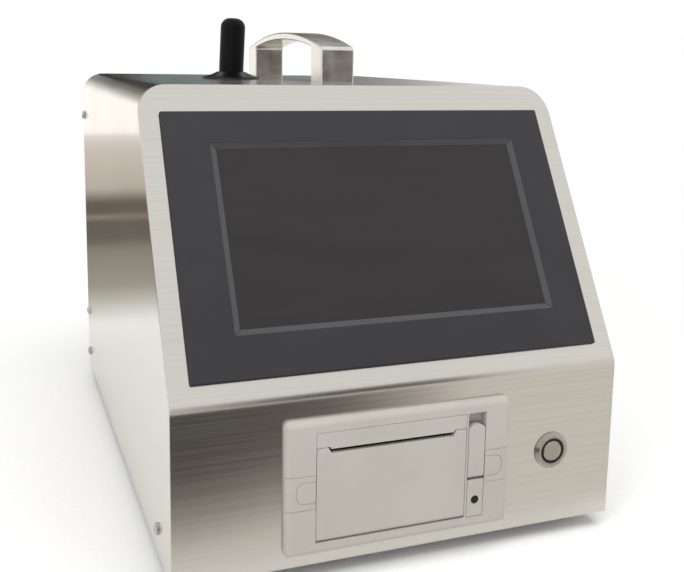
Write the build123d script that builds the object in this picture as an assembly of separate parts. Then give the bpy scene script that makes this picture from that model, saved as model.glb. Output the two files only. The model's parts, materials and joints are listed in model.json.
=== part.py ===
from build123d import *
import os
from math import asin, atan2, cos, pi, radians, sin, tan

# Benchtop airborne particle counter, millimetres, +Z up.
# Every piece is drawn from the front sheet's outside face (y = 0), the bottom
# edge of the sheets (z = 0) and the middle of the width (x = 0), and save()
# moves it so that the whole object stands on z = 0 in the middle of its depth.

# ---- housing ----
BODY_W = 220.0            # width over the folded cover
BODY_D = 318.0            # depth of the folded cover
BODY_H = 210.5            # height of the sheets
FOLD_H = 79.0             # height of the front sheet's fold
SLOPE_RUN = 77.5          # how far back the sloped screen panel reaches
SHEET = 1.5               # stainless sheet
FOLD_R = 8.0              # outside radius of the fold
CORNER_R = 14.0           # outside radius of the cover's bends
BEND_R = 2.5              # outside radius of the tray's and rear panel's bends
FIT = 0.1                 # gap between sheets that slide into each other
REAR_INSET = 1.0          # how far the rear panel lies inside the cover
TRAY_WALL_H = 18.0
REAR_FLANGE = 16.0
REAR_TAB_GAP = 8.0        # from the tray's wall to the rear panel's side tabs

# ---- screws ----
M3_R = 1.5
M3_HEAD_R = 2.8
M3_HEAD_H = 1.9
M3_HOLE_R = 1.7
THREAD_GAP = 0.05         # radial gap between a screw or shaft and its hole
SIDE_SCREW_L = 5.0
SCREW_Z = 12.0            # screws that hold the tray
FRONT_SCREW_Y = 32.0
REAR_SCREW_IN = 9.0       # rear row of side screws, from the cover's rear edge
REAR_SCREW_Z = (42.0, 182.0)

# ---- feet ----
FOOT_H = 8.0
FOOT_R = 9.0
FOOT_TIP_R = 7.5
FOOT_IN = 35.0            # foot centres, in from the housing's edges

# ---- carrying handle: one length of extruded bow profile ----
HANDLE_X = 15.0
HANDLE_Y = BODY_D - 175.0
HANDLE_L = 156.5
HANDLE_W = 20.0
HANDLE_H = 29.0
HANDLE_LEG = 18.4
HANDLE_SHOULDER = 19.5
HANDLE_BOW = 4.2
HANDLE_EDGE_R = 0.8
HANDLE_CORNER_R = 2.5
M5_R = 2.5
M5_HEAD_R = 4.25
M5_HEAD_H = 3.0
HANDLE_SCREW_L = 14.0

# ---- sample inlet ----
INLET_X = -34.2
INLET_Y = BODY_D - 122.0
FLANGE_R = 18.0
FLANGE_RIM = 0.9
FLANGE_H = 4.2
HUB_R = 8.6
BARREL_R = 8.0
BARREL_L = 14.0
TUBE_R = 4.75
TUBE_BORE_R = 3.2
TUBE_H = 30.0
BARB_L = 15.0
NUT_AF = 22.0
NUT_T = 5.0
CAP_R = 7.35
CAP_H = 36.1
CAP_TOP_R = 5.5
CAP_LEAN = 2.5            # degrees the soft cap's body leans to the right
CAP_FIT = 0.06

# ---- operator screen, in the sloped panel's own x and u (up the slope) ----
BEZEL_W = BODY_W - 19.0
BEZEL_L = 128.2
BEZEL_U = BEZEL_L / 2 + 9.6
BEZEL_T = 1.5
BEZEL_EDGE = 0.5
GASKET_T = 0.3
WINDOW_X = 1.3
WINDOW_U = BEZEL_U + 1.4
WINDOW_W = BEZEL_W - 47.0
WINDOW_L = BEZEL_L - 42.2
WINDOW_CHAMFER = 3.2
CASE_W = BEZEL_W - 12.0
CASE_L = BEZEL_L - 11.2
CASE_WALL = 2.4
CASE_DEPTH = 30.0
CASE_FIT = 0.5
GLASS_T = 1.8
GLASS_EDGE = 5.0
CLAMP_W = 10.0
CLAMP_L = 9.0

# ---- panel printer, in the front's own x and z ----
PRINTER_X = -5.55
PRINTER_Z = 37.6
PRINTER_W = 110.9
PRINTER_H = 62.6
PRINTER_PROUD = 4.0
PRINTER_PILLOW = 3.0
PRINTER_CORNER = 3.0
PRINTER_X0 = PRINTER_X - PRINTER_W / 2
PRINTER_X1 = PRINTER_X + PRINTER_W / 2
CHANNEL_X1 = PRINTER_X1 - 13.2
CHANNEL_X0 = CHANNEL_X1 - 9.1
CHANNEL_DEPTH = 9.0
DOOR_X0 = PRINTER_X0 + 14.3
DOOR_X1 = CHANNEL_X0 - 1.1
DOOR_Z0 = 12.1
DOOR_Z1 = 56.0
DOOR_T = 2.5
DOOR_GAP = 0.2
SLOT_X0 = DOOR_X0 + 5.4
SLOT_X1 = DOOR_X1 - 5.3
SLOT_H = 2.6
BAR_LIP = 1.0             # how far the bar's tear edge hangs into the slot
BAR_LIP_IN = 1.0
INSERT_TOP = 63.1
GRIP_Z = 56.0             # above this the lever's channel is shallow
GRIP_FLOOR = 0.2
LEVER_Z0 = 30.8
LEVER_Z1 = 57.6
LEVER_GAP = 0.3
LEVER_T = 3.0
LEVER_RISE = 2.1
KEY_Z1 = 30.2
KEY_GAP = 0.2
KEY_T = 3.0
KEY_TRAVEL = 0.8
LAMP_R = 2.0
LAMP_Z = 20.3
BIN_WALL = 2.0
BIN_DEPTH = 58.0
PRINTER_FIT = 0.5
BAND_Z0 = 28.2
BAND_Z1 = 44.1
BAND_FLOOR = 1.0
BAND_COVER_T = 1.3
TAB_L = 9.3
TAB_H = 10.2
GROOVE = 0.35
BARREL_DOOR_R = 2.2
PIN_R = 0.8
DRIVE_W = 12.0
DRIVE_Y1 = 36.0
DRIVE_Z0 = BAND_Z1 - 20.0
DRIVE_CORNER = 3.0
DRIVE_MOTOR_R = 8.0
DRIVE_MOTOR_L = 10.0
DRIVE_MOTOR_Y = 24.0
PLATEN_TEETH = 14
PLATEN_Y = 7.0
PLATEN_Z = 49.5
PLATEN_R = 4.5
PLATEN_L = 58.0
PLATEN_SHAFT_R = 1.5
PLATEN_GEAR_R = 5.2
ARM_T = 2.4
HEAD_GAP = 0.3
HEAD_T = 2.0
HEAD_H = 13.0
HEAD_BRACKET_T = 1.2

# ---- power button ----
BUTTON_X = BODY_W / 2 - 34.6
BUTTON_Z = 37.5
BUTTON_FLANGE_R = 9.1
BUTTON_FLANGE_T = 1.6
BUTTON_RIM = 0.6
BUTTON_BEVEL = 1.6
BUTTON_BARREL_R = 8.0
BUTTON_BARREL_L = 22.0
RING_R = 6.4
RING_IN_R = 5.1
BUTTON_TRAVEL = 1.5
BUTTON_CAP_L = 4.0
CAP_PROUD = 0.25
RING_T = 1.4
BUTTON_NUT_AF = 19.0
BUTTON_NUT_T = 3.0

# ---- rear panel ----
FAN_X = BODY_W / 2 - 55.0
FAN_Z = 120.0
FAN_SIZE = 60.0
FAN_DEPTH = 15.0
FAN_BORE_R = 28.0
FAN_PITCH = 50.0
FAN_HUB_R = 11.0
FAN_BLADES = 7
FAN_CHORD = 11.0
FAN_BLADE_T = 1.2
FAN_BLADE_TILT = 40.0
FAN_BASE_T = 3.0
FAN_RUN = 0.5             # gap between the rotor and the motor's base
FAN_PIN_R = 2.0
FAN_PIN_IN = 4.0
FAN_STRUT_W = 3.0
FAN_STRUT_T = 2.0
FAN_CORNER = 3.0
VENT_X = 60.0 - BODY_W / 2
VENT_SLOT_H = 3.0
VENT_PITCH = 6.0
VENT_R = 26.5
POWER_X = 48.0 - BODY_W / 2
POWER_Z = 52.0
POWER_W = 31.0
POWER_H = 62.0
POWER_FLANGE_T = 3.0
POWER_DEPTH = 24.0
POWER_EAR_T = 2.0
POWER_EAR = 40.0
POWER_EAR_H = 12.0
SOCKET_W = 24.4
SOCKET_H = 16.9
SOCKET_DEPTH = 17.0
SOCKET_DROP = 17.5
SOCKET_CORNER = 4.0
CONTACT_X = 7.0
CONTACT_DROP = 3.0
CONTACT_RISE = 1.0
CONTACT_W = 2.0
CONTACT_H = 4.0
CONTACT_TAIL = 8.0
ROCKER_RISE = 17.0
ROCKER_W = 14.0
ROCKER_HALF = 8.6
ROCKER_TILT = 10.0
ROCKER_LIP = 4.2
ROCKER_DISH = 3.0
FUSE_W = 22.0
FUSE_H = 8.0
FUSE_DEPTH = 18.0
PORT_X = 10.0
PORT_Z = 45.0
PORT_W = 31.0
PORT_H = 12.5
PORT_PITCH = 25.0
PORT_PLATE_T = 0.8
PORT_SHELL_W = 17.0
PORT_SHELL_H = 8.4
PORT_SHELL_T = 0.6
PORT_CORNER = 1.5
PORT_DEPTH = 10.0
POST_AF = 4.8
POST_BORE_R = 1.2
JACK_PROUD = 6.0

# ---- inside ----
HOSE_R = 6.0
HOSE_BORE_R = 4.0
SPIGOT_R = HOSE_BORE_R - THREAD_GAP
SPIGOT_L = 12.0
SENSOR_W = 56.0
SENSOR_D = 90.0
SENSOR_H = 42.0
BRACKET_H = 90.5
BRACKET_W = 84.0
BRACKET_D = 100.0
BRACKET_FOOT = 12.0
SENSOR_CORNER = 4.0
LASER_R = 9.0
LASER_L = 22.0
LASER_TIP_R = 6.5
LASER_TIP_L = 8.0
DETECTOR_W = 40.0
DETECTOR_H = 30.0
DETECTOR_CAN_R = 7.0
DETECTOR_CAN_L = 6.4
BLOWER_R = 35.0
BLOWER_H = 28.0
BLOWER_WALL = 3.0
BLOWER_LID_T = 2.0
BLOWER_LEG_R = 3.0
DUCT_W = 16.0
DUCT_REACH = 12.0
MOTOR_R = 14.0
MOTOR_H = 20.0
IMPELLER_R = 26.0
IMPELLER_BLADES = 12
IMPELLER_SHAFT_R = 2.0
IMPELLER_DISC_T = 1.5
IMPELLER_HUB_R = 5.0
IMPELLER_HUB_H = 10.0
IMPELLER_BLADE_H = 16.0
IMPELLER_EYE_R = 8.0
IMPELLER_LEAN = 15.0
FILTER_R = 20.0
FILTER_L = 40.0
FILTER_CHAMFER = 3.0
FILTER_NECK_R = 9.0
FILTER_NECK_L = 6.0
SADDLE_W = 24.0
BOARD_X = (12.0 - BODY_W / 2, 118.0 - BODY_W / 2)
BOARD_Y = (66.0, 140.0)
BOARD_RISE = 8.0
BOARD_T = 1.6
BOARD_HOLE_IN = 4.0
CONNECTORS = 4
CONNECTOR_PITCH = 22.0
CONNECTOR_W = 14.0
CONNECTOR_D = 7.0
CONNECTOR_H = 8.0
CHIP_W = 20.0
CHIP_T = 2.0
POST_R = 3.0
POST_PIN_L = 4.0
BATTERY_X1 = BODY_W / 2 - 14.0
BATTERY_W = 74.0
BATTERY_H = 38.0
BATTERY_R = 8.0
SUPPLY_X1 = BODY_W / 2 - 12.0
SUPPLY_Y1 = BODY_D - 30.0
SUPPLY_W = 54.0
SUPPLY_L = 120.0
SUPPLY_H = 32.0
SUPPLY_BEND = 1.0
SUPPLY_SLOTS = 8
SUPPLY_SLOT_W = 4.0
SUPPLY_SLOT_PITCH = 12.0
SUPPLY_SLOT_IN = 10.0

# ---- worked out from the above ----
SLOPE_RISE = BODY_H - FOLD_H
SLOPE = atan2(SLOPE_RISE, SLOPE_RUN)
REAR_FACE = BODY_D - REAR_INSET
REAR_INSIDE = REAR_FACE - SHEET
REAR_SCREW_Y = BODY_D - REAR_SCREW_IN
INSIDE_TOP = BODY_H - SHEET
FLOOR = SHEET
INSERT_Z0 = DOOR_Z0 - DOOR_GAP
BAR_Z0 = DOOR_Z1 + DOOR_GAP
BIN_X0 = DOOR_X0 - DOOR_GAP
BIN_X1 = DOOR_X1 + DOOR_GAP
RIB_X = (BIN_X1 + CHANNEL_X0) / 2
CASE_X0 = BIN_X0 - BIN_WALL
CASE_X1 = CHANNEL_X1 + BIN_WALL
CASE_Z0 = INSERT_Z0 - BIN_WALL
CASE_Z1 = INSERT_TOP + BIN_WALL
DOOR_AXIS_Y = -PRINTER_PROUD + BARREL_DOOR_R
DOOR_AXIS_Z = DOOR_Z0 + BARREL_DOOR_R
LEVER_AXIS_Z = LEVER_Z0 + BARREL_DOOR_R
FRAME_Y = (PRINTER_PROUD - REAR_FACE - JACK_PROUD) / 2

# Work planes: x to the right and y upwards as seen from outside each face.
FRONT = Plane(origin=(0, 0, 0), x_dir=(1, 0, 0), z_dir=(0, -1, 0))
SCREEN = Plane(origin=(0, 0, FOLD_H), x_dir=(1, 0, 0), z_dir=(0, -sin(SLOPE), cos(SLOPE)))
REAR = Plane(origin=(0, REAR_FACE, 0), x_dir=(-1, 0, 0), z_dir=(0, 1, 0))
TOP = Plane(origin=(0, 0, BODY_H), x_dir=(1, 0, 0), z_dir=(0, 0, 1))
SIDE = Plane(origin=(0, 0, 0), x_dir=(0, 1, 0), z_dir=(1, 0, 0))
LOW = (Align.CENTER, Align.CENTER, Align.MIN)


# ---- helpers ----

def save(name, shape):
    """Moves a piece to its place on the surface and writes its file."""
    solids = shape.solids() if hasattr(shape, "solids") else list(shape)
    placed = [Pos(0, FRAME_Y, FOOT_H) * solid for solid in solids]
    export_step(placed[0] if len(placed) == 1 else Compound(children=placed), f"parts/{name}.step")


def block(x0, x1, y0, y1, z0, z1):
    """A box between two corners."""
    centre = Pos((x0 + x1) / 2, (y0 + y1) / 2, (z0 + z1) / 2)
    return centre * Box(x1 - x0, y1 - y0, z1 - z0)


def disc(plane, x, y, radius, start, end):
    """A cylinder that stands on a plane, from one height above it to another."""
    return plane * Pos(x, y, start) * Cylinder(radius, end - start, align=LOW)


def plate(plane, x, y, width, height, start, end, corner=0.0):
    """A plate parallel to a plane, with its corners rounded."""
    if corner > 0:
        outline = RectangleRounded(width, height, corner)
    else:
        outline = Rectangle(width, height)
    return plane * Pos(x, y, start) * extrude(outline, end - start)


def side_prism(points, x0, x1):
    """A prism across the width from an outline in y and z."""
    outline = make_face(SIDE.offset(x0) * Polyline(*points, close=True))
    return extrude(outline, x1 - x0, dir=(1, 0, 0))


def nut(plane, x, y, across_flats, bore_r, start, end):
    """A hexagon nut."""
    hexagon = RegularPolygon(across_flats / 2, 6, major_radius=False) - Circle(bore_r)
    return plane * Pos(x, y, start) * extrude(hexagon, end - start)


def pan_screw(plane, x, y, seat, length, head_r=M3_HEAD_R, head_h=M3_HEAD_H, shank_r=M3_R):
    """A screw with a domed head on a seat, pointing into the plane."""
    rise = head_h / 2
    dome_r = (head_r ** 2 + rise ** 2) / (2 * rise)
    half_turn = asin(head_r / dome_r) / 2
    dome_mid = (dome_r * sin(half_turn), head_h - dome_r * (1 - cos(half_turn)))
    edges = [
        Line((0, -length), (shank_r, -length)),
        Line((shank_r, -length), (shank_r, 0)),
        Line((shank_r, 0), (head_r, 0)),
        Line((head_r, 0), (head_r, head_h - rise)),
        ThreePointArc((head_r, head_h - rise), dome_mid, (0, head_h)),
        Line((0, head_h), (0, -length)),
    ]
    half = Plane.XZ * make_face(edges)
    return plane * Pos(x, y, seat) * revolve(half, Axis.Z)


def mirrored(solids):
    """The given solids and their mirror images on the other side."""
    return list(solids) + [mirror(solid, about=Plane.YZ) for solid in solids]


# ---- folded housing ----

def front_line(depth):
    """The front's section in y and z, at a depth below its outside face."""
    fold_z = FOLD_H - depth * tan((pi / 2 - SLOPE) / 2)
    top_y = SLOPE_RUN + depth / sin(SLOPE)
    return [(depth, 0), (depth, fold_z), (top_y, BODY_H)]


def fold_edges(shape):
    """The edges across the width that lie at the front's fold."""
    return [e for e in shape.edges().filter_by(Axis.X) if abs(e.center().Z - FOLD_H) < SHEET]


def outline(inset, y0, y1):
    """A prism along the depth with the cover's round-shouldered outline."""
    width = BODY_W - 2 * inset
    top = BODY_H - inset
    radius = CORNER_R - inset
    section = Pos(0, top - radius) * Rectangle(width, 2 * radius)
    section = fillet(section.vertices().group_by(Axis.Y)[-1], radius)
    section += Pos(0, (top - radius) / 2) * Rectangle(width, top - radius)
    return Plane.XZ.offset(-y0) * extrude(section, y0 - y1)


def printer_cutout():
    """The opening that the printer's body passes through."""
    return block(CASE_X0 - PRINTER_FIT, CASE_X1 + PRINTER_FIT, -SHEET, 3 * SHEET,
                 CASE_Z0 - PRINTER_FIT, CASE_Z1 + PRINTER_FIT)


def cover_screw_places():
    """The side screws as (y, z): two in the tray, the rest in the rear panel."""
    places = [(FRONT_SCREW_Y, SCREW_Z), (REAR_SCREW_Y, SCREW_Z)]
    return places + [(REAR_SCREW_Y, z) for z in REAR_SCREW_Z]


def handle_screw_places():
    """The middles of the handle's two feet."""
    ends = (HANDLE_Y + HANDLE_LEG / 2, HANDLE_Y + HANDLE_L - HANDLE_LEG / 2)
    return [(HANDLE_X, y) for y in ends]


def wrap_cover():
    """Top and both sides folded from one sheet, cut to the front's slope."""
    tube = outline(0, 0, BODY_D) - outline(SHEET, -SHEET, BODY_D + SHEET)
    behind = side_prism(front_line(SHEET) + [(BODY_D, BODY_H), (BODY_D, 0)], -BODY_W / 2, BODY_W / 2)
    behind = fillet(fold_edges(behind), FOLD_R - SHEET)
    cover = tube & behind
    for y, z in cover_screw_places():
        cover -= disc(SIDE, y, z, M3_HOLE_R, -BODY_W, BODY_W)
    for x, y in handle_screw_places():
        cover -= disc(TOP, x, y, M5_R + CASE_FIT / 2, -CORNER_R, SHEET)
    cover -= disc(TOP, INLET_X, INLET_Y, BARREL_R + FIT, -CORNER_R, SHEET)
    return cover


def front_fascia():
    """The front sheet: an upright face folded back into the screen's slope."""
    outer = front_line(0)
    inner = front_line(SHEET)
    sheet = side_prism(outer + inner[::-1], -BODY_W / 2, BODY_W / 2)
    folds = fold_edges(sheet)
    folds.sort(key=lambda e: e.center().Y)
    sheet = fillet(folds[:1], FOLD_R)
    folds = fold_edges(sheet)
    sharp = [e for e in folds if abs(e.center().Y - SHEET) < 0.01]
    sheet = fillet(sharp, FOLD_R - SHEET)
    sheet &= outline(0, -SHEET, BODY_D)
    cutouts = [
        plate(SCREEN, 0, BEZEL_U, CASE_W + 2 * CASE_FIT, CASE_L + 2 * CASE_FIT, -BODY_W / 4, SHEET, CASE_WALL),
        printer_cutout(),
        disc(FRONT, BUTTON_X, BUTTON_Z, BUTTON_BARREL_R + FIT, -2 * SHEET, SHEET),
    ]
    for x in band_screw_xs():
        cutouts.append(disc(FRONT, x, band_middle(), M3_HOLE_R, -2 * SHEET, SHEET))
    for cutout in cutouts:
        sheet -= cutout
    return sheet


def base_tray():
    """The bottom sheet with its four walls folded up and notched corners."""
    half = BODY_W / 2 - SHEET - FIT
    tray = block(-half, half, SHEET, REAR_INSIDE, 0, TRAY_WALL_H)
    tray = fillet(tray.edges().group_by(Axis.Z)[0], BEND_R)
    pocket = block(-half + SHEET, half - SHEET, 2 * SHEET, REAR_INSIDE - SHEET, SHEET, 2 * TRAY_WALL_H)
    tray -= fillet(pocket.edges().group_by(Axis.Z)[0], BEND_R - SHEET)
    for x in (-half, half):
        for y in (SHEET, REAR_INSIDE):
            tray -= Pos(x, y, 0) * Box(4 * BEND_R, 4 * BEND_R, 2 * TRAY_WALL_H + SHEET)
    for y in (FRONT_SCREW_Y, REAR_SCREW_Y):
        tray -= disc(SIDE, y, SCREW_Z, M3_R + THREAD_GAP, -BODY_W / 2, BODY_W / 2)
    for x, y in foot_places():
        tray -= disc(Plane.XY, x, y, M3_R + THREAD_GAP, -SHEET, 2 * SHEET)
    return tray - printer_cutout()


def vent_slots(x):
    """Rows of round-ended slots that fill a circle on the rear panel."""
    slots = []
    rows = int(VENT_R // VENT_PITCH)
    for row in range(-rows, rows + 1):
        half = (VENT_R ** 2 - (row * VENT_PITCH) ** 2) ** 0.5
        if half > VENT_SLOT_H:
            slot = SlotOverall(2 * half, VENT_SLOT_H)
            slots.append(REAR * Pos(-x, FAN_Z + row * VENT_PITCH, -2 * SHEET) * extrude(slot, 3 * SHEET))
    return slots


def fan_screw_places():
    """The fan's four screws."""
    half = FAN_PITCH / 2
    return [(-FAN_X + a * half, FAN_Z + b * half) for a in (-1, 1) for b in (-1, 1)]


def power_screw_places():
    """The two screws beside the power inlet."""
    return [(-POWER_X + side * POWER_EAR / 2, POWER_Z) for side in (-1, 1)]


def rear_panel():
    """The rear sheet with three folded tabs that take the cover's screws."""
    half = BODY_W / 2 - SHEET - FIT
    panel = outline(SHEET + FIT, REAR_INSIDE, REAR_FACE)
    tabs = outline(SHEET + FIT, REAR_FACE - REAR_FLANGE, REAR_INSIDE)
    tabs -= outline(2 * SHEET + FIT, REAR_FACE - 2 * REAR_FLANGE, REAR_FACE)
    tab_z0 = TRAY_WALL_H + REAR_TAB_GAP
    tab_z1 = BODY_H - 2 * CORNER_R
    tab_x = BODY_W / 2 - 2 * CORNER_R
    side_room = block(-half, half, 0, BODY_D, tab_z0, tab_z1)
    top_room = block(-tab_x, tab_x, 0, BODY_D, tab_z1, BODY_H)
    panel += tabs & (side_room + top_room)
    for z in REAR_SCREW_Z:
        panel -= disc(SIDE, REAR_SCREW_Y, z, M3_R + THREAD_GAP, -BODY_W / 2, BODY_W / 2)
    for x in (FAN_X, VENT_X):
        for slot in vent_slots(x):
            panel -= slot
    for x, z in fan_screw_places() + power_screw_places():
        panel -= disc(REAR, x, z, M3_HOLE_R, -2 * SHEET, SHEET)
    panel -= plate(REAR, -POWER_X, POWER_Z, POWER_W - 2 * SHEET, POWER_H - 2 * SHEET, -2 * SHEET, SHEET)
    panel -= plate(REAR, -PORT_X, PORT_Z, PORT_PITCH - 2 * M3_HEAD_R, PORT_H - 1, -2 * SHEET, SHEET)
    for side in (-1, 1):
        panel -= disc(REAR, -PORT_X + side * PORT_PITCH / 2, PORT_Z, M3_HOLE_R, -2 * SHEET, SHEET)
    return panel


def foot_places():
    """The feet's places under the tray."""
    x = BODY_W / 2 - FOOT_IN
    return [(a * x, y) for y in (FOOT_IN, BODY_D - FOOT_IN) for a in (-1, 1)]


def rubber_feet():
    """Four tapered rubber feet with a well for the screw's head."""
    feet = []
    for x, y in foot_places():
        foot = loft([
            Plane.XY.offset(-FOOT_H) * Circle(FOOT_TIP_R),
            Plane.XY * Circle(FOOT_R),
        ])
        foot -= disc(Plane.XY, 0, 0, M3_HEAD_R + CASE_FIT, -FOOT_H, -FOOT_H / 2)
        foot -= disc(Plane.XY, 0, 0, M3_HOLE_R, -FOOT_H, 0)
        feet.append(Pos(x, y, 0) * foot)
    return feet


def foot_screws():
    """A screw up through each foot into the tray."""
    under = Plane(origin=(0, 0, 0), x_dir=(-1, 0, 0), z_dir=(0, 0, -1))
    length = FOOT_H / 2 + SHEET
    return [pan_screw(under, -x, y, FOOT_H / 2, length) for x, y in foot_places()]


def cover_screws():
    """The pan-head screws along both sides of the cover."""
    screws = [pan_screw(SIDE, y, z, BODY_W / 2, SIDE_SCREW_L) for y, z in cover_screw_places()]
    return mirrored(screws)


# ---- carrying handle ----

def carry_handle():
    """A bow with two thick feet, cut from an extruded profile."""
    end = HANDLE_Y + HANDLE_L
    middle = HANDLE_Y + HANDLE_L / 2
    leg_y0 = HANDLE_Y + HANDLE_LEG
    leg_y1 = end - HANDLE_LEG
    inner_top = HANDLE_H - HANDLE_BOW
    inner_shoulder = HANDLE_SHOULDER + 0.4
    edges = [
        Line((HANDLE_Y, 0), (HANDLE_Y, HANDLE_SHOULDER)),
        ThreePointArc((HANDLE_Y, HANDLE_SHOULDER), (middle, HANDLE_H), (end, HANDLE_SHOULDER)),
        Line((end, HANDLE_SHOULDER), (end, 0)),
        Line((end, 0), (leg_y1, 0)),
        Line((leg_y1, 0), (leg_y1, inner_shoulder)),
        ThreePointArc((leg_y1, inner_shoulder), (middle, inner_top), (leg_y0, inner_shoulder)),
        Line((leg_y0, inner_shoulder), (leg_y0, 0)),
        Line((leg_y0, 0), (HANDLE_Y, 0)),
    ]
    section = make_face(edges)
    shoulders = [v for v in section.vertices() if abs(v.Y - HANDLE_SHOULDER) < 0.01]
    section = fillet(shoulders, HANDLE_CORNER_R)
    inner = [v for v in section.vertices() if abs(v.Y - inner_shoulder) < 0.01]
    section = fillet(inner, HANDLE_BOW / 2)
    shape = extrude(SIDE.offset(HANDLE_X - HANDLE_W / 2) * section, HANDLE_W, dir=(1, 0, 0))
    rims = [e for e in shape.edges() if e.center().Z > 0.01
            and abs(abs(e.center().X - HANDLE_X) - HANDLE_W / 2) < 0.01]
    shape = fillet(rims, HANDLE_EDGE_R)
    shape = Pos(0, 0, BODY_H) * shape
    for x, y in handle_screw_places():
        shape -= disc(TOP, x, y, M5_R + THREAD_GAP, 0, HANDLE_SCREW_L - SHEET + 1)
    return shape


def handle_screws():
    """The two screws that come up into the handle's feet."""
    under = Plane(origin=(0, 0, INSIDE_TOP), x_dir=(-1, 0, 0), z_dir=(0, 0, -1))
    return [pan_screw(under, -x, y, 0, HANDLE_SCREW_L, M5_HEAD_R, M5_HEAD_H, M5_R)
            for x, y in handle_screw_places()]


# ---- sample inlet ----

def inlet_fitting():
    """A turned bulkhead fitting: flange, tube above, thread and barb below."""
    lower = -SHEET - BARREL_L
    outer = [
        (TUBE_BORE_R, lower - BARB_L), (SPIGOT_R, lower - BARB_L), (SPIGOT_R, lower),
        (BARREL_R, lower), (BARREL_R, 0), (FLANGE_R, 0), (FLANGE_R, FLANGE_RIM),
    ]
    upper = [(HUB_R, FLANGE_H), (TUBE_R, FLANGE_H), (TUBE_R, TUBE_H - 1), (TUBE_R - 1, TUBE_H),
             (TUBE_BORE_R, TUBE_H), (TUBE_BORE_R, lower - BARB_L)]
    dish_middle = ((FLANGE_R + HUB_R) / 2, (FLANGE_RIM + FLANGE_H) / 2 - 0.5)
    dish = ThreePointArc(outer[-1], dish_middle, upper[0])
    half = make_face(Plane.XZ * (Polyline(*outer) + dish + Polyline(*upper)))
    return TOP * Pos(INLET_X, INLET_Y, 0) * revolve(half, Axis.Z)


def inlet_nut():
    """The nut under the top sheet."""
    return nut(TOP, INLET_X, INLET_Y, NUT_AF, BARREL_R + THREAD_GAP, -SHEET - NUT_T, -SHEET)


def inlet_cap():
    """A soft dust cap pushed over the tube; its domed body leans a little."""
    cap = Pos(0, 0, -FLANGE_H) * Cylinder(CAP_R, CAP_H, align=LOW)
    cap = fillet(cap.edges().group_by(Axis.Z)[-1], CAP_TOP_R)
    cap = Pos(0, 0, FLANGE_H) * Rot(0, CAP_LEAN, 0) * cap
    cap &= Pos(0, 0, FLANGE_H) * Cylinder(2 * CAP_R, 2 * CAP_H, align=LOW)
    cap -= Pos(0, 0, FLANGE_H - 1) * Cylinder(TUBE_R + CAP_FIT, TUBE_H - FLANGE_H + 1.5, align=LOW)
    return TOP * Pos(INLET_X, INLET_Y, 0) * cap


# ---- operator screen ----

def screen_bezel():
    """The screen's moulded front with a chamfered window and a deep collar."""
    face = GASKET_T + BEZEL_T
    bezel = plate(SCREEN, 0, BEZEL_U, BEZEL_W, BEZEL_L, GASKET_T, face, BEZEL_EDGE * 2)
    top = [e for e in bezel.edges() if abs(SCREEN.to_local_coords(e.center()).Z - face) < 0.01]
    bezel = chamfer(top, BEZEL_EDGE)
    inner_w = CASE_W - 2 * CASE_WALL
    inner_l = CASE_L - 2 * CASE_WALL
    collar = plate(SCREEN, 0, BEZEL_U, CASE_W, CASE_L, -CASE_WALL * 3, GASKET_T, CASE_WALL)
    collar -= plate(SCREEN, 0, BEZEL_U, inner_w, inner_l, -CASE_WALL * 4, GASKET_T)
    bezel += collar
    window = loft([
        SCREEN.offset(GASKET_T) * Pos(WINDOW_X, WINDOW_U) * Rectangle(WINDOW_W, WINDOW_L),
        SCREEN.offset(face) * Pos(WINDOW_X, WINDOW_U)
        * Rectangle(WINDOW_W + 2 * WINDOW_CHAMFER, WINDOW_L + 2 * WINDOW_CHAMFER),
    ])
    return bezel - window


def screen_gasket():
    """A flat foam ring between the bezel and the sheet."""
    ring = plate(SCREEN, 0, BEZEL_U, BEZEL_W - 2, BEZEL_L - 2, 0, GASKET_T, BEZEL_EDGE * 2)
    return ring - plate(SCREEN, 0, BEZEL_U, CASE_W + FIT, CASE_L + FIT, -1, GASKET_T + 1, CASE_WALL)


def display_glass():
    """The touch panel behind the window."""
    width = WINDOW_W + 2 * GLASS_EDGE
    height = WINDOW_L + 2 * GLASS_EDGE
    return plate(SCREEN, WINDOW_X, WINDOW_U, width, height, GASKET_T - GLASS_T, GASKET_T)


def screen_case():
    """The screen unit's closed rear case, stepped down to its back."""
    front = -CASE_WALL * 3
    step = -CASE_DEPTH * 0.6
    inner_w = CASE_W - 2 * CASE_WALL - FIT
    inner_l = CASE_L - 2 * CASE_WALL - FIT
    case = plate(SCREEN, 0, BEZEL_U, CASE_W, CASE_L, step, front, CASE_WALL)
    case += plate(SCREEN, 0, BEZEL_U, inner_w, inner_l, front, GASKET_T - GLASS_T)
    case += plate(SCREEN, 0, BEZEL_U, CASE_W * 0.8, CASE_L * 0.8, -CASE_DEPTH, step, CASE_WALL)
    for side in (-1, 1):
        for u in (-CASE_L / 4, CASE_L / 4):
            edge = side * (CASE_W / 2 - CASE_WALL / 2)
            case -= plate(SCREEN, edge, BEZEL_U + u, CASE_WALL + FIT, CLAMP_L + FIT, step - 1, front - 2)
    return case


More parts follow.
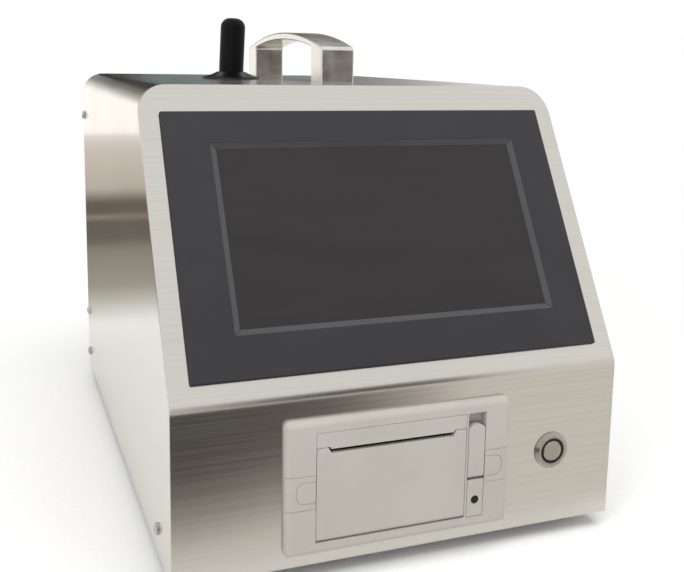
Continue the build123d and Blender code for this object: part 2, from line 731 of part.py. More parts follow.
def screen_clamps():
    """Four clamps: each hooks in the case and its screw presses on the sheet."""
    solids = []
    step = -CASE_DEPTH * 0.6
    for side in (-1, 1):
        for u in (-CASE_L / 4, CASE_L / 4):
            inner = side * (CASE_W / 2 - CASE_WALL + FIT)
            outer = side * (CASE_W / 2 + CASE_FIT + CLAMP_W)
            arm = plate(SCREEN, (inner + outer) / 2, BEZEL_U + u, abs(outer - inner), CLAMP_L,
                        step, step + SHEET)
            hook = side * (CASE_W / 2 - CASE_WALL / 2)
            arm += plate(SCREEN, hook, BEZEL_U + u, CASE_WALL - 2 * FIT, CLAMP_L, step, step + 4 * SHEET)
            screw_x = outer - side * CLAMP_W / 2
            arm -= disc(SCREEN, screw_x, BEZEL_U + u, M3_R + THREAD_GAP, step - 1, step + SHEET + 1)
            screw = disc(SCREEN, screw_x, BEZEL_U + u, M3_R, step - 4, -SHEET)
            screw += disc(SCREEN, screw_x, BEZEL_U + u, M3_HEAD_R, step - 4 - M3_HEAD_H, step - 4)
            solids += [arm, screw]
    return solids


# ---- panel printer ----

def band_middle():
    """The height of the two side bands' middle."""
    return (BAND_Z0 + BAND_Z1) / 2


def band_screw_xs():
    """The printer's two mounting screws, one under each band's cover."""
    left = (PRINTER_X0 + PRINTER_PILLOW + CASE_X0) / 2
    right = (PRINTER_X1 - PRINTER_PILLOW + CASE_X1) / 2
    return [left, right]


def printer_pillow():
    """The printer's face before it is opened: a plate with a soft border."""
    face = plate(FRONT, PRINTER_X, PRINTER_Z, PRINTER_W, PRINTER_H, 0, PRINTER_PROUD, PRINTER_CORNER)
    rim = [e for e in face.edges() if abs(e.center().Y + PRINTER_PROUD) < 0.01]
    return fillet(rim, PRINTER_PILLOW)


def band_box(side, z_in, start, end):
    """The room of a side band: -1 is the left one, 1 the right one."""
    x_in = BIN_X0 if side < 0 else CHANNEL_X1
    x_out = PRINTER_X + side * PRINTER_W
    low, high = sorted((x_in + side * z_in, x_out))
    return block(low, high, -end, -start, BAND_Z0 + z_in, BAND_Z1 - z_in)


def printer_frame():
    """The moulded frame: face, paper bin and the lever's channel in one."""
    frame = printer_pillow()
    frame += block(CASE_X0, CASE_X1, 0, BIN_DEPTH, CASE_Z0, CASE_Z1)
    frame -= block(BIN_X0, BIN_X1, -PRINTER_PROUD - 1, BIN_DEPTH - BIN_WALL, INSERT_Z0, INSERT_TOP)
    frame -= block(CHANNEL_X0, CHANNEL_X1, -PRINTER_PROUD - 1, CHANNEL_DEPTH, KEY_Z1 + KEY_GAP, GRIP_Z)
    frame -= block(CHANNEL_X0, CHANNEL_X1, -PRINTER_PROUD - 1, GRIP_FLOOR, GRIP_Z, INSERT_TOP)
    frame -= block(CHANNEL_X0 + KEY_GAP, CHANNEL_X1 - KEY_GAP, -PRINTER_PROUD - 1, CHANNEL_DEPTH,
                   INSERT_Z0, KEY_Z1 + 2 * KEY_GAP)
    behind = CHANNEL_DEPTH + BIN_WALL
    frame -= block(BIN_X1 + BIN_WALL, CASE_X1 + 1, behind, BIN_DEPTH + 1, CASE_Z0 - 1, CASE_Z1 + 1)
    for side, x in zip((-1, 1), band_screw_xs()):
        frame -= band_box(side, 0, BAND_FLOOR, 2 * PRINTER_PROUD)
        frame -= disc(FRONT, x, band_middle(), M3_HOLE_R, -1, PRINTER_PROUD)
    frame -= disc(SIDE, DOOR_AXIS_Y, DOOR_AXIS_Z, PIN_R + THREAD_GAP, BIN_X0 - BIN_WALL, RIB_X)
    frame -= disc(SIDE, DOOR_AXIS_Y, LEVER_AXIS_Z, PIN_R + THREAD_GAP, RIB_X, CHANNEL_X1 + BIN_WALL)
    return frame


def printer_exit_bar():
    """The fixed bar over the paper slot, with a tear edge hanging into it."""
    top = INSERT_TOP - KEY_GAP / 2
    section = [
        (-PRINTER_PROUD, BAR_Z0), (-PRINTER_PROUD, top), (DOOR_T, top),
        (DOOR_T, BAR_Z0 + SLOT_H), (-PRINTER_PROUD + DOOR_T, BAR_Z0),
    ]
    bar = side_prism(section, BIN_X0 + KEY_GAP / 2, BIN_X1 - KEY_GAP / 2)
    edge = [
        (-PRINTER_PROUD, BAR_Z0 - BAR_LIP), (-PRINTER_PROUD, top), (DOOR_T - PRINTER_PROUD, top),
        (DOOR_T - PRINTER_PROUD, BAR_Z0),
    ]
    return bar + side_prism(edge, SLOT_X0 + BAR_LIP_IN, SLOT_X1 - BAR_LIP_IN)


def printer_cover(side):
    """A band's cover, shaped to the face's soft border, with its thumb tab."""
    cover = printer_pillow() & band_box(side, KEY_GAP / 2, BAND_FLOOR, 2 * PRINTER_PROUD)
    skirt = (PRINTER_X0 if side < 0 else PRINTER_X1) - side * PRINTER_PILLOW
    inner = BIN_X0 if side < 0 else CHANNEL_X1
    low, high = sorted((inner, skirt))
    cover -= block(low, high, BAND_COVER_T - PRINTER_PROUD, 0, BAND_Z0, BAND_Z1)
    straight = BIN_X0 if side < 0 else CHANNEL_X1
    radius = TAB_H / 2 - 1
    groove = []
    for grow in (0, -GROOVE):
        wide = Pos(straight, band_middle()) * RectangleRounded(2 * (TAB_L + grow), TAB_H + 2 * grow,
                                                              radius + grow)
        groove.append(wide)
    ring = FRONT * Pos(0, 0, PRINTER_PROUD - GROOVE) * extrude(groove[0] - groove[1], 1)
    return cover - ring


def printer_screws():
    """The two low-head screws under the bands' covers, with their nuts."""
    solids = []
    low_head = PRINTER_PROUD - BAND_COVER_T - BAND_FLOOR - FIT
    for x in band_screw_xs():
        solids.append(pan_screw(FRONT, x, band_middle(), BAND_FLOOR, 7, M3_HEAD_R, low_head))
        solids.append(nut(FRONT, x, band_middle(), 5.5, M3_R + THREAD_GAP, -SHEET - 2.4, -SHEET))
    return solids


def printer_pins():
    """The steel pins that the door and the lever turn on."""
    door_pin = disc(SIDE, DOOR_AXIS_Y, DOOR_AXIS_Z, PIN_R, BIN_X0 - BIN_WALL + FIT, RIB_X)
    lever_pin = disc(SIDE, DOOR_AXIS_Y, LEVER_AXIS_Z, PIN_R, RIB_X, CHANNEL_X1 + BIN_WALL - FIT)
    return [door_pin, lever_pin]


def arm_xs():
    """The inner faces of the door's two platen arms."""
    middle = (SLOT_X0 + SLOT_X1) / 2
    half = PLATEN_L / 2 + HEAD_GAP
    return [middle - half, middle + half]


def printer_door():
    """The paper door: plate, hinge barrel and two arms for the platen."""
    skin = [
        (DOOR_X0, DOOR_AXIS_Z), (DOOR_X0, DOOR_Z1), (SLOT_X0, DOOR_Z1),
        (SLOT_X0 + SLOT_H / 2, DOOR_Z1 - SLOT_H), (SLOT_X1 - SLOT_H / 2, DOOR_Z1 - SLOT_H),
        (SLOT_X1, DOOR_Z1), (DOOR_X1, DOOR_Z1), (DOOR_X1, DOOR_AXIS_Z),
    ]
    front = FRONT.offset(PRINTER_PROUD - DOOR_T)
    door = extrude(front * make_face(Polyline(*skin, close=True)), DOOR_T, dir=(0, -1, 0))
    door += disc(SIDE, DOOR_AXIS_Y, DOOR_AXIS_Z, BARREL_DOOR_R, DOOR_X0, DOOR_X1)
    left, right = arm_xs()
    back = -PRINTER_PROUD + DOOR_T
    tip = PLATEN_SHAFT_R + 1.6
    arm_line = [
        (back, DOOR_AXIS_Z + BARREL_DOOR_R), (back, DOOR_Z1 - SLOT_H - 1), (PLATEN_Y, PLATEN_Z + tip),
        (PLATEN_Y + tip, PLATEN_Z), (PLATEN_Y, PLATEN_Z - tip * 1.6),
    ]
    for x0 in (left - ARM_T, right):
        door += side_prism(arm_line, x0, x0 + ARM_T)
    ribs = 3
    for rib in range(1, ribs + 1):
        x = left + rib * (right - left) / (ribs + 1)
        door += block(x - 0.6, x + 0.6, back, back + 1.6, DOOR_AXIS_Z + BARREL_DOOR_R, DOOR_Z1 - 4 * SLOT_H)
    for x0 in (left - ARM_T, right):
        door -= disc(SIDE, PLATEN_Y, PLATEN_Z, PLATEN_SHAFT_R + THREAD_GAP, x0 - 1, x0 + ARM_T + 1)
    door -= disc(SIDE, DOOR_AXIS_Y, DOOR_AXIS_Z, PIN_R + THREAD_GAP, DOOR_X0 - 1, DOOR_X1 + 1)
    return door


def platen_roller():
    """The rubber roller that feeds the paper."""
    middle = (SLOT_X0 + SLOT_X1) / 2
    roller = disc(SIDE, PLATEN_Y, PLATEN_Z, PLATEN_R, middle - PLATEN_L / 2, middle + PLATEN_L / 2)
    return roller - disc(SIDE, PLATEN_Y, PLATEN_Z, PLATEN_SHAFT_R + THREAD_GAP / 2, DOOR_X0, DOOR_X1)


def platen_shaft():
    """The roller's steel shaft."""
    left, right = arm_xs()
    return disc(SIDE, PLATEN_Y, PLATEN_Z, PLATEN_SHAFT_R, left - ARM_T - 3, right + ARM_T + 1)


def platen_gear():
    """The toothed wheel on the shaft's left end."""
    left = arm_xs()[0] - ARM_T
    wheel = Circle(PLATEN_GEAR_R - 1)
    for tooth in range(PLATEN_TEETH):
        turn = Rot(0, 0, tooth * 360 / PLATEN_TEETH) * Pos(PLATEN_GEAR_R - 1, 0)
        wheel += turn * Trapezoid(1.9, 1.1, 75, rotation=-90)
    wheel -= Circle(PLATEN_SHAFT_R + THREAD_GAP / 2)
    return SIDE.offset(left - HEAD_GAP - 2) * Pos(PLATEN_Y, PLATEN_Z) * extrude(wheel, 2)


def print_head():
    """The thermal head behind the platen: ceramic strip on a finned sink."""
    middle = (SLOT_X0 + SLOT_X1) / 2
    y0 = PLATEN_Y + PLATEN_R + HEAD_GAP
    z0 = PLATEN_Z - HEAD_H / 2
    half = PLATEN_L / 2
    head = block(middle - half, middle + half, y0, y0 + HEAD_T, z0, z0 + HEAD_H)
    return head


def head_bracket():
    """The folded plate that carries the print head across the bin."""
    y0 = PLATEN_Y + PLATEN_R + HEAD_GAP + HEAD_T
    z0 = PLATEN_Z - HEAD_H / 2
    x0 = BIN_X0
    x1 = BIN_X1
    bracket = block(x0, x1, y0, y0 + HEAD_BRACKET_T, z0, z0 + HEAD_H + 4)
    for x in (x0, x1 - HEAD_BRACKET_T):
        bracket += block(x, x + HEAD_BRACKET_T, y0, y0 + 4 * HEAD_T, z0, z0 + HEAD_H + 4)
    return bracket


def printer_drive():
    """The closed case of the paper-feed motor and gears, on the bin's left."""
    outer = CASE_X0 - DRIVE_W
    case = block(outer, CASE_X0, 2 * PRINTER_PROUD, DRIVE_Y1, DRIVE_Z0, CASE_Z1 - PRINTER_PROUD)
    case = fillet(case.edges().filter_by(Axis.X), DRIVE_CORNER)
    motor_z = DRIVE_Z0 + DRIVE_W
    return case + disc(SIDE, DRIVE_MOTOR_Y, motor_z, DRIVE_MOTOR_R, outer - DRIVE_MOTOR_L, outer)


def door_lever():
    """The lever that opens the paper door, turning on a pin at its foot."""
    x0 = CHANNEL_X0 + LEVER_GAP
    x1 = CHANNEL_X1 - LEVER_GAP
    shoulder = LEVER_Z1 - LEVER_RISE
    middle = (x0 + x1) / 2
    edges = [
        Line((x0, LEVER_AXIS_Z), (x0, shoulder)),
        ThreePointArc((x0, shoulder), (middle, LEVER_Z1), (x1, shoulder)),
        Line((x1, shoulder), (x1, LEVER_AXIS_Z)),
        Line((x1, LEVER_AXIS_Z), (x0, LEVER_AXIS_Z)),
    ]
    front = FRONT.offset(PRINTER_PROUD - LEVER_T)
    lever = extrude(front * make_face(edges), LEVER_T, dir=(0, -1, 0))
    lever += disc(SIDE, DOOR_AXIS_Y, LEVER_AXIS_Z, BARREL_DOOR_R, x0, x1)
    back = -PRINTER_PROUD + LEVER_T
    rib_line = [(back - 1, LEVER_AXIS_Z), (back - 1, shoulder - 2), (back + 5, shoulder - 4),
                (back + 5, shoulder - 8), (back + 1.5, LEVER_AXIS_Z + 3)]
    lever += side_prism(rib_line, middle - 1.2, middle + 1.2)
    lever -= disc(SIDE, DOOR_AXIS_Y, LEVER_AXIS_Z, PIN_R + THREAD_GAP, x0 - 1, x1 + 1)
    return lever


def key_middle():
    """The feed key's middle across the width."""
    return (CHANNEL_X0 + CHANNEL_X1) / 2


def feed_key():
    """The paper-feed key under the lever, with a hole for its lamp."""
    x0 = CHANNEL_X0 + 2 * KEY_GAP
    x1 = CHANNEL_X1 - 2 * KEY_GAP
    z0 = INSERT_Z0 + KEY_GAP
    key = block(x0, x1, -PRINTER_PROUD, -PRINTER_PROUD + KEY_T, z0, KEY_Z1)
    key += block(key_middle() - 1.5, key_middle() + 1.5, -PRINTER_PROUD + KEY_T,
                 CHANNEL_DEPTH - KEY_TRAVEL - FIT, z0 + 2, z0 + 5)
    return key - disc(FRONT, key_middle(), LAMP_Z, LAMP_R, 0, PRINTER_PROUD + 1)


def feed_lamp():
    """The small status lamp's lens in the feed key."""
    return disc(FRONT, key_middle(), LAMP_Z, LAMP_R, PRINTER_PROUD - KEY_T, PRINTER_PROUD - FIT)


# ---- power button ----

def button_body():
    """The button's turned metal body: bevelled flange and long barrel."""
    t = BUTTON_FLANGE_T
    ring_floor = t - RING_T
    well = t + CAP_PROUD - BUTTON_CAP_L - BUTTON_TRAVEL - FIT
    points = [
        (0, -BUTTON_BARREL_L), (BUTTON_BARREL_R, -BUTTON_BARREL_L), (BUTTON_BARREL_R, 0),
        (BUTTON_FLANGE_R, 0), (BUTTON_FLANGE_R, BUTTON_RIM), (BUTTON_FLANGE_R - BUTTON_BEVEL, t), (RING_R, t),
        (RING_R, ring_floor), (RING_IN_R, ring_floor), (RING_IN_R, well), (0, well),
    ]
    half = make_face(Plane.XZ * Polyline(*points, close=True))
    return FRONT * Pos(BUTTON_X, BUTTON_Z, 0) * revolve(half, Axis.Z)


def button_ring():
    """The black light ring round the cap."""
    t = BUTTON_FLANGE_T
    ring = Circle(RING_R - FIT / 2) - Circle(RING_IN_R)
    return FRONT * Pos(BUTTON_X, BUTTON_Z, t - RING_T) * extrude(ring, RING_T - FIT)


def power_button():
    """The cap that is pressed, running in the body's well."""
    top = BUTTON_FLANGE_T + CAP_PROUD
    cap = disc(FRONT, BUTTON_X, BUTTON_Z, RING_IN_R - 2 * FIT, top - BUTTON_CAP_L, top)
    return chamfer(cap.edges().group_by(Axis.Y)[0], CAP_PROUD)


def button_nut():
    """The nut behind the front sheet."""
    return nut(FRONT, BUTTON_X, BUTTON_Z, BUTTON_NUT_AF, BUTTON_BARREL_R + THREAD_GAP,
               -SHEET - BUTTON_NUT_T, -SHEET)


# ---- rear panel's fittings ----

def fan_frame():
    """The square fan housing with its motor hub on four struts."""
    x = -FAN_X
    frame = plate(REAR, x, FAN_Z, FAN_SIZE, FAN_SIZE, -SHEET - FAN_DEPTH, -SHEET, FAN_CORNER)
    frame -= disc(REAR, x, FAN_Z, FAN_BORE_R, -SHEET - FAN_DEPTH - 1, 0)
    motor_top = -SHEET - FAN_DEPTH + FAN_BASE_T
    frame += disc(REAR, x, FAN_Z, FAN_HUB_R, -SHEET - FAN_DEPTH, motor_top)
    for turn in range(4):
        strut = Pos(x, FAN_Z, -SHEET - FAN_DEPTH) * Rot(0, 0, 45 + 90 * turn) * Pos(FAN_BORE_R / 2 + 4, 0, 0)
        frame += REAR * strut * Box(FAN_BORE_R, FAN_STRUT_W, FAN_STRUT_T, align=LOW)
    frame += disc(REAR, x, FAN_Z, FAN_PIN_R, -SHEET - FAN_DEPTH, -SHEET - FAN_PIN_IN)
    for sx, sz in fan_screw_places():
        frame -= disc(REAR, sx, sz, M3_R + THREAD_GAP, -SHEET - FAN_DEPTH - 1, 0)
    return frame


def fan_rotor():
    """The fan's hub and blades on the frame's pin."""
    base = -SHEET - FAN_DEPTH + FAN_BASE_T + FAN_RUN
    top = -SHEET - FAN_PIN_IN / 2
    rotor = disc(REAR, -FAN_X, FAN_Z, FAN_HUB_R, base, top)
    for blade in range(FAN_BLADES):
        turn = Pos(-FAN_X, FAN_Z, (base + top) / 2) * Rot(0, 0, 360 * blade / FAN_BLADES)
        tilt = Rot(FAN_BLADE_TILT, 0, 0)
        length = FAN_BORE_R - FAN_HUB_R
        blade_at = Pos(FAN_HUB_R + length / 2 - 1, 0, 0)
        rotor += REAR * turn * blade_at * tilt * Box(length, FAN_CHORD, FAN_BLADE_T)
    pin_end = -SHEET - FAN_PIN_IN + HEAD_GAP
    return rotor - disc(REAR, -FAN_X, FAN_Z, FAN_PIN_R + THREAD_GAP, base - 1, pin_end)


def rear_screws():
    """The screws of the fan and of the power inlet."""
    solids = [pan_screw(REAR, x, z, 0, 12) for x, z in fan_screw_places()]
    for x, z in power_screw_places():
        solids.append(pan_screw(REAR, x, z, POWER_EAR_T, 7))
    return solids


def power_inlet():
    """The moulded inlet: plug socket below, fuse drawer, rocker opening above."""
    x = -POWER_X
    shape = plate(REAR, x, POWER_Z, POWER_W, POWER_H, 0, POWER_FLANGE_T, 2)
    shape += plate(REAR, x, POWER_Z, POWER_EAR + 10, POWER_EAR_H, 0, POWER_EAR_T, POWER_EAR_H * 0.4)
    shape += plate(REAR, x, POWER_Z, POWER_W - 3 * SHEET, POWER_H - 3 * SHEET, -POWER_DEPTH, 0)
    socket = Pos(x, POWER_Z - SOCKET_DROP) * Rectangle(SOCKET_W, SOCKET_H)
    socket = chamfer(socket.vertices().group_by(Axis.Y)[0], SOCKET_CORNER)
    shape -= REAR * Pos(0, 0, POWER_FLANGE_T - SOCKET_DEPTH) * extrude(socket, SOCKET_DEPTH + 1)
    shape -= plate(REAR, x, POWER_Z, FUSE_W, FUSE_H, POWER_FLANGE_T - FUSE_DEPTH, POWER_FLANGE_T + 1)
    shape -= plate(REAR, x, POWER_Z + ROCKER_RISE, ROCKER_W + 2 * HEAD_GAP, 2 * rocker_reach() + 2 * HEAD_GAP,
                   -ROCKER_W, POWER_FLANGE_T + 1)
    for sx, sz in power_screw_places():
        shape -= disc(REAR, sx, sz, M3_HOLE_R, -1, POWER_FLANGE_T)
    for dx, dz in contact_places():
        shape -= plate(REAR, x + dx, dz, CONTACT_W, CONTACT_H, -POWER_DEPTH - 1, 0)
    return shape


def contact_places():
    """The three contacts of the socket: two low ones and the earth above."""
    low = POWER_Z - SOCKET_DROP
    return [(-CONTACT_X, low - CONTACT_DROP), (CONTACT_X, low - CONTACT_DROP), (0, low + CONTACT_RISE)]


def power_contacts():
    """The socket's flat contacts, with their tails behind."""
    return [plate(REAR, -POWER_X + dx, dz, CONTACT_W, CONTACT_H, -POWER_DEPTH - CONTACT_TAIL, 0)
            for dx, dz in contact_places()]


def rocker_reach():
    """How far the rocker's corners reach from its axis."""
    return (ROCKER_HALF ** 2 + ROCKER_LIP ** 2) ** 0.5


def rocker_switch():
    """The mains rocker, with its upper half pressed in."""
    half = ROCKER_HALF
    section = [(ROCKER_DISH, 0), (ROCKER_LIP, half), (-ROCKER_LIP, half * 0.9), (-half, 0),
               (-ROCKER_LIP, -half * 0.9), (ROCKER_LIP, -half)]
    prism = extrude(make_face(SIDE * Polyline(*section, close=True)), ROCKER_W / 2, both=True)
    return Pos(POWER_X, REAR_FACE, POWER_Z + ROCKER_RISE) * Rot(ROCKER_TILT, 0, 0) * prism


def fuse_drawer():
    """The pull-out fuse holder between the socket and the rocker."""
    x = -POWER_X
    gap = 2 * FIT
    drawer = plate(REAR, x, POWER_Z, FUSE_W - 2 * gap, FUSE_H - 2 * gap,
                   POWER_FLANGE_T - FUSE_DEPTH + gap, POWER_FLANGE_T + 0.5)
    drawer -= plate(REAR, x, POWER_Z + FUSE_H / 2, 6, 2, POWER_FLANGE_T - 2, POWER_FLANGE_T + 1)
    return drawer


def data_port():
    """A nine-pin data connector: plate, D-shaped shell and two jack posts."""
    x = -PORT_X
    shape = plate(REAR, x, PORT_Z, PORT_W, PORT_H, 0, PORT_PLATE_T, PORT_CORNER)
    shape += plate(REAR, x, PORT_Z, PORT_PITCH - 3 * M3_HEAD_R, PORT_H - 2, -PORT_DEPTH, 0)
    shell = Pos(x, PORT_Z) * Trapezoid(PORT_SHELL_W, PORT_SHELL_H, 80, rotation=180)
    shell = fillet(shell.vertices(), PORT_CORNER)
    shape += REAR * extrude(shell, JACK_PROUD - 0.5)
    core = offset(shell, -PORT_SHELL_T)
    shape -= REAR * Pos(0, 0, 2 * PORT_PLATE_T) * extrude(core, JACK_PROUD)
    for side in (-1, 1):
        post_x = x + side * PORT_PITCH / 2
        shape += nut(REAR, post_x, PORT_Z, POST_AF, POST_BORE_R, PORT_PLATE_T, JACK_PROUD)
        shape += disc(REAR, post_x, PORT_Z, M3_R, -JACK_PROUD, PORT_PLATE_T)
    return shape


# ---- air path and electronics inside ----

def sensor_block():
    """The optical chamber's aluminium body with a nozzle at each end."""
    z0 = BRACKET_H + SHEET
    body = block(INLET_X - SENSOR_W / 2, INLET_X + SENSOR_W / 2, INLET_Y - SENSOR_D / 2,
                 INLET_Y + SENSOR_D / 2, z0, z0 + SENSOR_H)
    body = chamfer(body.edges().filter_by(Axis.Z), SENSOR_CORNER)
    body += disc(Plane.XY, INLET_X, INLET_Y, SPIGOT_R, z0 + SENSOR_H, z0 + SENSOR_H + SPIGOT_L)
    body += disc(Plane.XY, INLET_X, INLET_Y, SPIGOT_R, z0 - SPIGOT_L, z0)
    top = z0 + SENSOR_H + SPIGOT_L + 1
    return body - disc(Plane.XY, INLET_X, INLET_Y, SPIGOT_R - 1, z0 - SPIGOT_L - 1, top)


def laser_module():
    """The laser's tube on the front of the optical chamber."""
    z = BRACKET_H + SHEET + SENSOR_H / 2
    front = INLET_Y - SENSOR_D / 2
    shoulder = LASER_L - front
    tube = disc(FRONT, INLET_X, z, LASER_R, -front, shoulder)
    return tube + disc(FRONT, INLET_X, z, LASER_TIP_R, shoulder, shoulder + LASER_TIP_L)


def detector_board():
    """The photodetector's circuit board on the chamber's side."""
    x0 = INLET_X + SENSOR_W / 2
    z = BRACKET_H + SHEET + SENSOR_H / 2
    x1 = x0 + BOARD_T
    half = DETECTOR_W / 2
    rise = DETECTOR_H / 2
    board = block(x0, x1, INLET_Y - half, INLET_Y + half, z - rise, z + rise)
    return board + disc(SIDE, INLET_Y, z, DETECTOR_CAN_R, x1, x1 + DETECTOR_CAN_L)


def sensor_bracket():
    """A folded table that carries the optical chamber over the blower."""
    y0 = INLET_Y - BRACKET_D / 2
    y1 = INLET_Y + BRACKET_D / 2
    x0 = INLET_X - BRACKET_W / 2
    x1 = INLET_X + BRACKET_W / 2
    z1 = BRACKET_H + SHEET
    table = block(x0, x1, y0, y1, BRACKET_H, z1)
    for x, side in ((x0, -1), (x1, 1)):
        inner, outer = sorted((x, x - side * SHEET))
        table += block(inner, outer, y0, y1, FLOOR, z1)
        low, high = sorted((x, x + side * BRACKET_FOOT))
        table += block(low, high, y0, y1, FLOOR, FLOOR + SHEET)
    return table - disc(Plane.XY, INLET_X, INLET_Y, HOSE_R + 2, BRACKET_H - 1, z1 + 1)


def sample_hose():
    """The soft hose from the inlet's barb to the optical chamber."""
    low = BRACKET_H + SHEET + SENSOR_H + FIT
    high = INSIDE_TOP - BARREL_L - FIT
    hose = disc(Plane.XY, INLET_X, INLET_Y, HOSE_R, low, high)
    return hose - disc(Plane.XY, INLET_X, INLET_Y, HOSE_BORE_R, low - 1, high + 1)


def blower_base():
    """The blower housing's underside."""
    return FLOOR + MOTOR_H


def suction_hose():
    """The soft hose from the optical chamber down to the blower."""
    low = blower_base() + BLOWER_H + BLOWER_LID_T + FIT
    high = BRACKET_H + SHEET - FIT
    hose = disc(Plane.XY, INLET_X, INLET_Y, HOSE_R, low, high)
    return hose - disc(Plane.XY, INLET_X, INLET_Y, HOSE_BORE_R, low - 1, high + 1)


def blower_housing():
    """The blower's drum with its outlet duct and three legs."""
    z0 = blower_base()
    z1 = z0 + BLOWER_H
    duct_x = INLET_X + BLOWER_R - DUCT_W
    drum = disc(Plane.XY, INLET_X, INLET_Y, BLOWER_R, z0, z1)
    drum += block(duct_x, duct_x + DUCT_W, INLET_Y, INLET_Y + BLOWER_R + DUCT_REACH, z0, z1)
    drum -= disc(Plane.XY, INLET_X, INLET_Y, BLOWER_R - BLOWER_WALL, z0 + BLOWER_WALL, z1 + 1)
    drum -= block(duct_x + BLOWER_WALL, duct_x + DUCT_W - BLOWER_WALL, INLET_Y, INLET_Y + 2 * BLOWER_R,
                  z0 + BLOWER_WALL, z1 - BLOWER_WALL)
    drum -= disc(Plane.XY, INLET_X, INLET_Y, IMPELLER_SHAFT_R + 1, z0 - 1, z1)
    for turn in (90, 210, 330):
        leg = radians(turn)
        reach = BLOWER_R - BLOWER_LEG_R - 1
        x = INLET_X + reach * cos(leg)
        y = INLET_Y + reach * sin(leg)
        drum += disc(Plane.XY, x, y, BLOWER_LEG_R, FLOOR, z0)
    return drum


def blower_lid():
    """The blower's lid with its suction spigot."""
    z1 = blower_base() + BLOWER_H
    lid = disc(Plane.XY, INLET_X, INLET_Y, BLOWER_R, z1, z1 + BLOWER_LID_T)
    lid += disc(Plane.XY, INLET_X, INLET_Y, SPIGOT_R, z1, z1 + BLOWER_LID_T + SPIGOT_L)
    return lid - disc(Plane.XY, INLET_X, INLET_Y, SPIGOT_R - 1, z1 - 1, z1 + 2 * SPIGOT_L)


def blower_motor():
    """The motor under the blower, with its bearing hole."""
    motor = disc(Plane.XY, INLET_X, INLET_Y, MOTOR_R, FLOOR, blower_base())
    return motor - disc(Plane.XY, INLET_X, INLET_Y, IMPELLER_SHAFT_R + THREAD_GAP, FLOOR + 4, blower_base() + 1)


def blower_impeller():
    """The radial impeller and its shaft."""
    z0 = blower_base() + BLOWER_WALL + 1
    wheel = disc(Plane.XY, INLET_X, INLET_Y, IMPELLER_R, z0, z0 + IMPELLER_DISC_T)
    wheel += disc(Plane.XY, INLET_X, INLET_Y, IMPELLER_HUB_R, z0, z0 + IMPELLER_HUB_H)
    blade_l = IMPELLER_R - IMPELLER_EYE_R - 2
    blade_form = Rot(0, 0, IMPELLER_LEAN) * Box(blade_l, 1, IMPELLER_BLADE_H, align=LOW)
    for blade in range(IMPELLER_BLADES):
        turn = Pos(INLET_X, INLET_Y, z0 + 1) * Rot(0, 0, 360 * blade / IMPELLER_BLADES)
        wheel += turn * Pos(IMPELLER_EYE_R + blade_l / 2, 0, 0) * blade_form
    return wheel + disc(Plane.XY, INLET_X, INLET_Y, IMPELLER_SHAFT_R, FLOOR + 5, z0 + 1)


def exhaust_filter():
    """The filter capsule that cleans the air leaving the blower."""
    x = INLET_X + BLOWER_R - DUCT_W / 2
    z = blower_base() + BLOWER_H / 2
    start = INLET_Y + BLOWER_R + DUCT_REACH
    middle = start + FILTER_NECK_L + FILTER_L / 2
    half = SADDLE_W / 2
    axis_plane = Plane(origin=(0, start, 0), x_dir=(-1, 0, 0), z_dir=(0, 1, 0))
    capsule = disc(axis_plane, -x, z, FILTER_R, FILTER_NECK_L, FILTER_NECK_L + FILTER_L)
    capsule = chamfer(capsule.edges().filter_by(GeomType.CIRCLE), FILTER_CHAMFER)
    capsule += disc(axis_plane, -x, z, FILTER_NECK_R, 0, FILTER_NECK_L + 1)
    capsule += block(x - half, x + half, middle - half, middle + half, FLOOR, z - FILTER_R / 2)
    return capsule


def board_post_places():
    """The main board's four corners, in from its edges."""
    xs = (BOARD_X[0] + BOARD_HOLE_IN, BOARD_X[1] - BOARD_HOLE_IN)
    ys = (BOARD_Y[0] + BOARD_HOLE_IN, BOARD_Y[1] - BOARD_HOLE_IN)
    return [(x, y) for x in xs for y in ys]


def main_board():
    """The main circuit board with its connectors and largest parts."""
    z = FLOOR + BOARD_RISE
    board = block(*BOARD_X, *BOARD_Y, z, z + BOARD_T)
    top = z + BOARD_T
    y1 = BOARD_Y[1] - CONNECTOR_D
    for row in range(CONNECTORS):
        x = BOARD_X[0] + CONNECTOR_W + row * CONNECTOR_PITCH
        board += block(x, x + CONNECTOR_W, y1 - CONNECTOR_D, y1, top, top + CONNECTOR_H)
    chip_x = BOARD_X[0] + 2 * CHIP_W
    chip_y = BOARD_Y[0] + CHIP_W
    board += block(chip_x, chip_x + CHIP_W, chip_y, chip_y + CHIP_W, top, top + CHIP_T)
    for x, y in board_post_places():
        board -= disc(Plane.XY, x, y, M3_HOLE_R, z - 1, z + 2 * BOARD_T)
    return board


def board_posts():
    """The main board's posts, with a pin through each of its holes."""
    posts = []
    for x, y in board_post_places():
        seat = FLOOR + BOARD_RISE
        post = disc(Plane.XY, x, y, POST_R, FLOOR, seat)
        posts.append(post + disc(Plane.XY, x, y, M3_R, seat, seat + POST_PIN_L))
    return posts


def power_supply():
    """The power supply's folded case with a slotted lid."""
    x0 = SUPPLY_X1 - SUPPLY_W
    y0 = SUPPLY_Y1 - SUPPLY_L
    top = FLOOR + SUPPLY_H
    case = block(x0, SUPPLY_X1, y0, SUPPLY_Y1, FLOOR, top)
    case = fillet(case.edges().filter_by(Axis.Y), SUPPLY_BEND)
    for slot in range(SUPPLY_SLOTS):
        y = y0 + SUPPLY_SLOT_PITCH + SUPPLY_SLOT_W + slot * SUPPLY_SLOT_PITCH
        case -= block(x0 + SUPPLY_SLOT_IN, SUPPLY_X1 - SUPPLY_SLOT_IN, y, y + SUPPLY_SLOT_W, top - 1, top + 1)
    return case


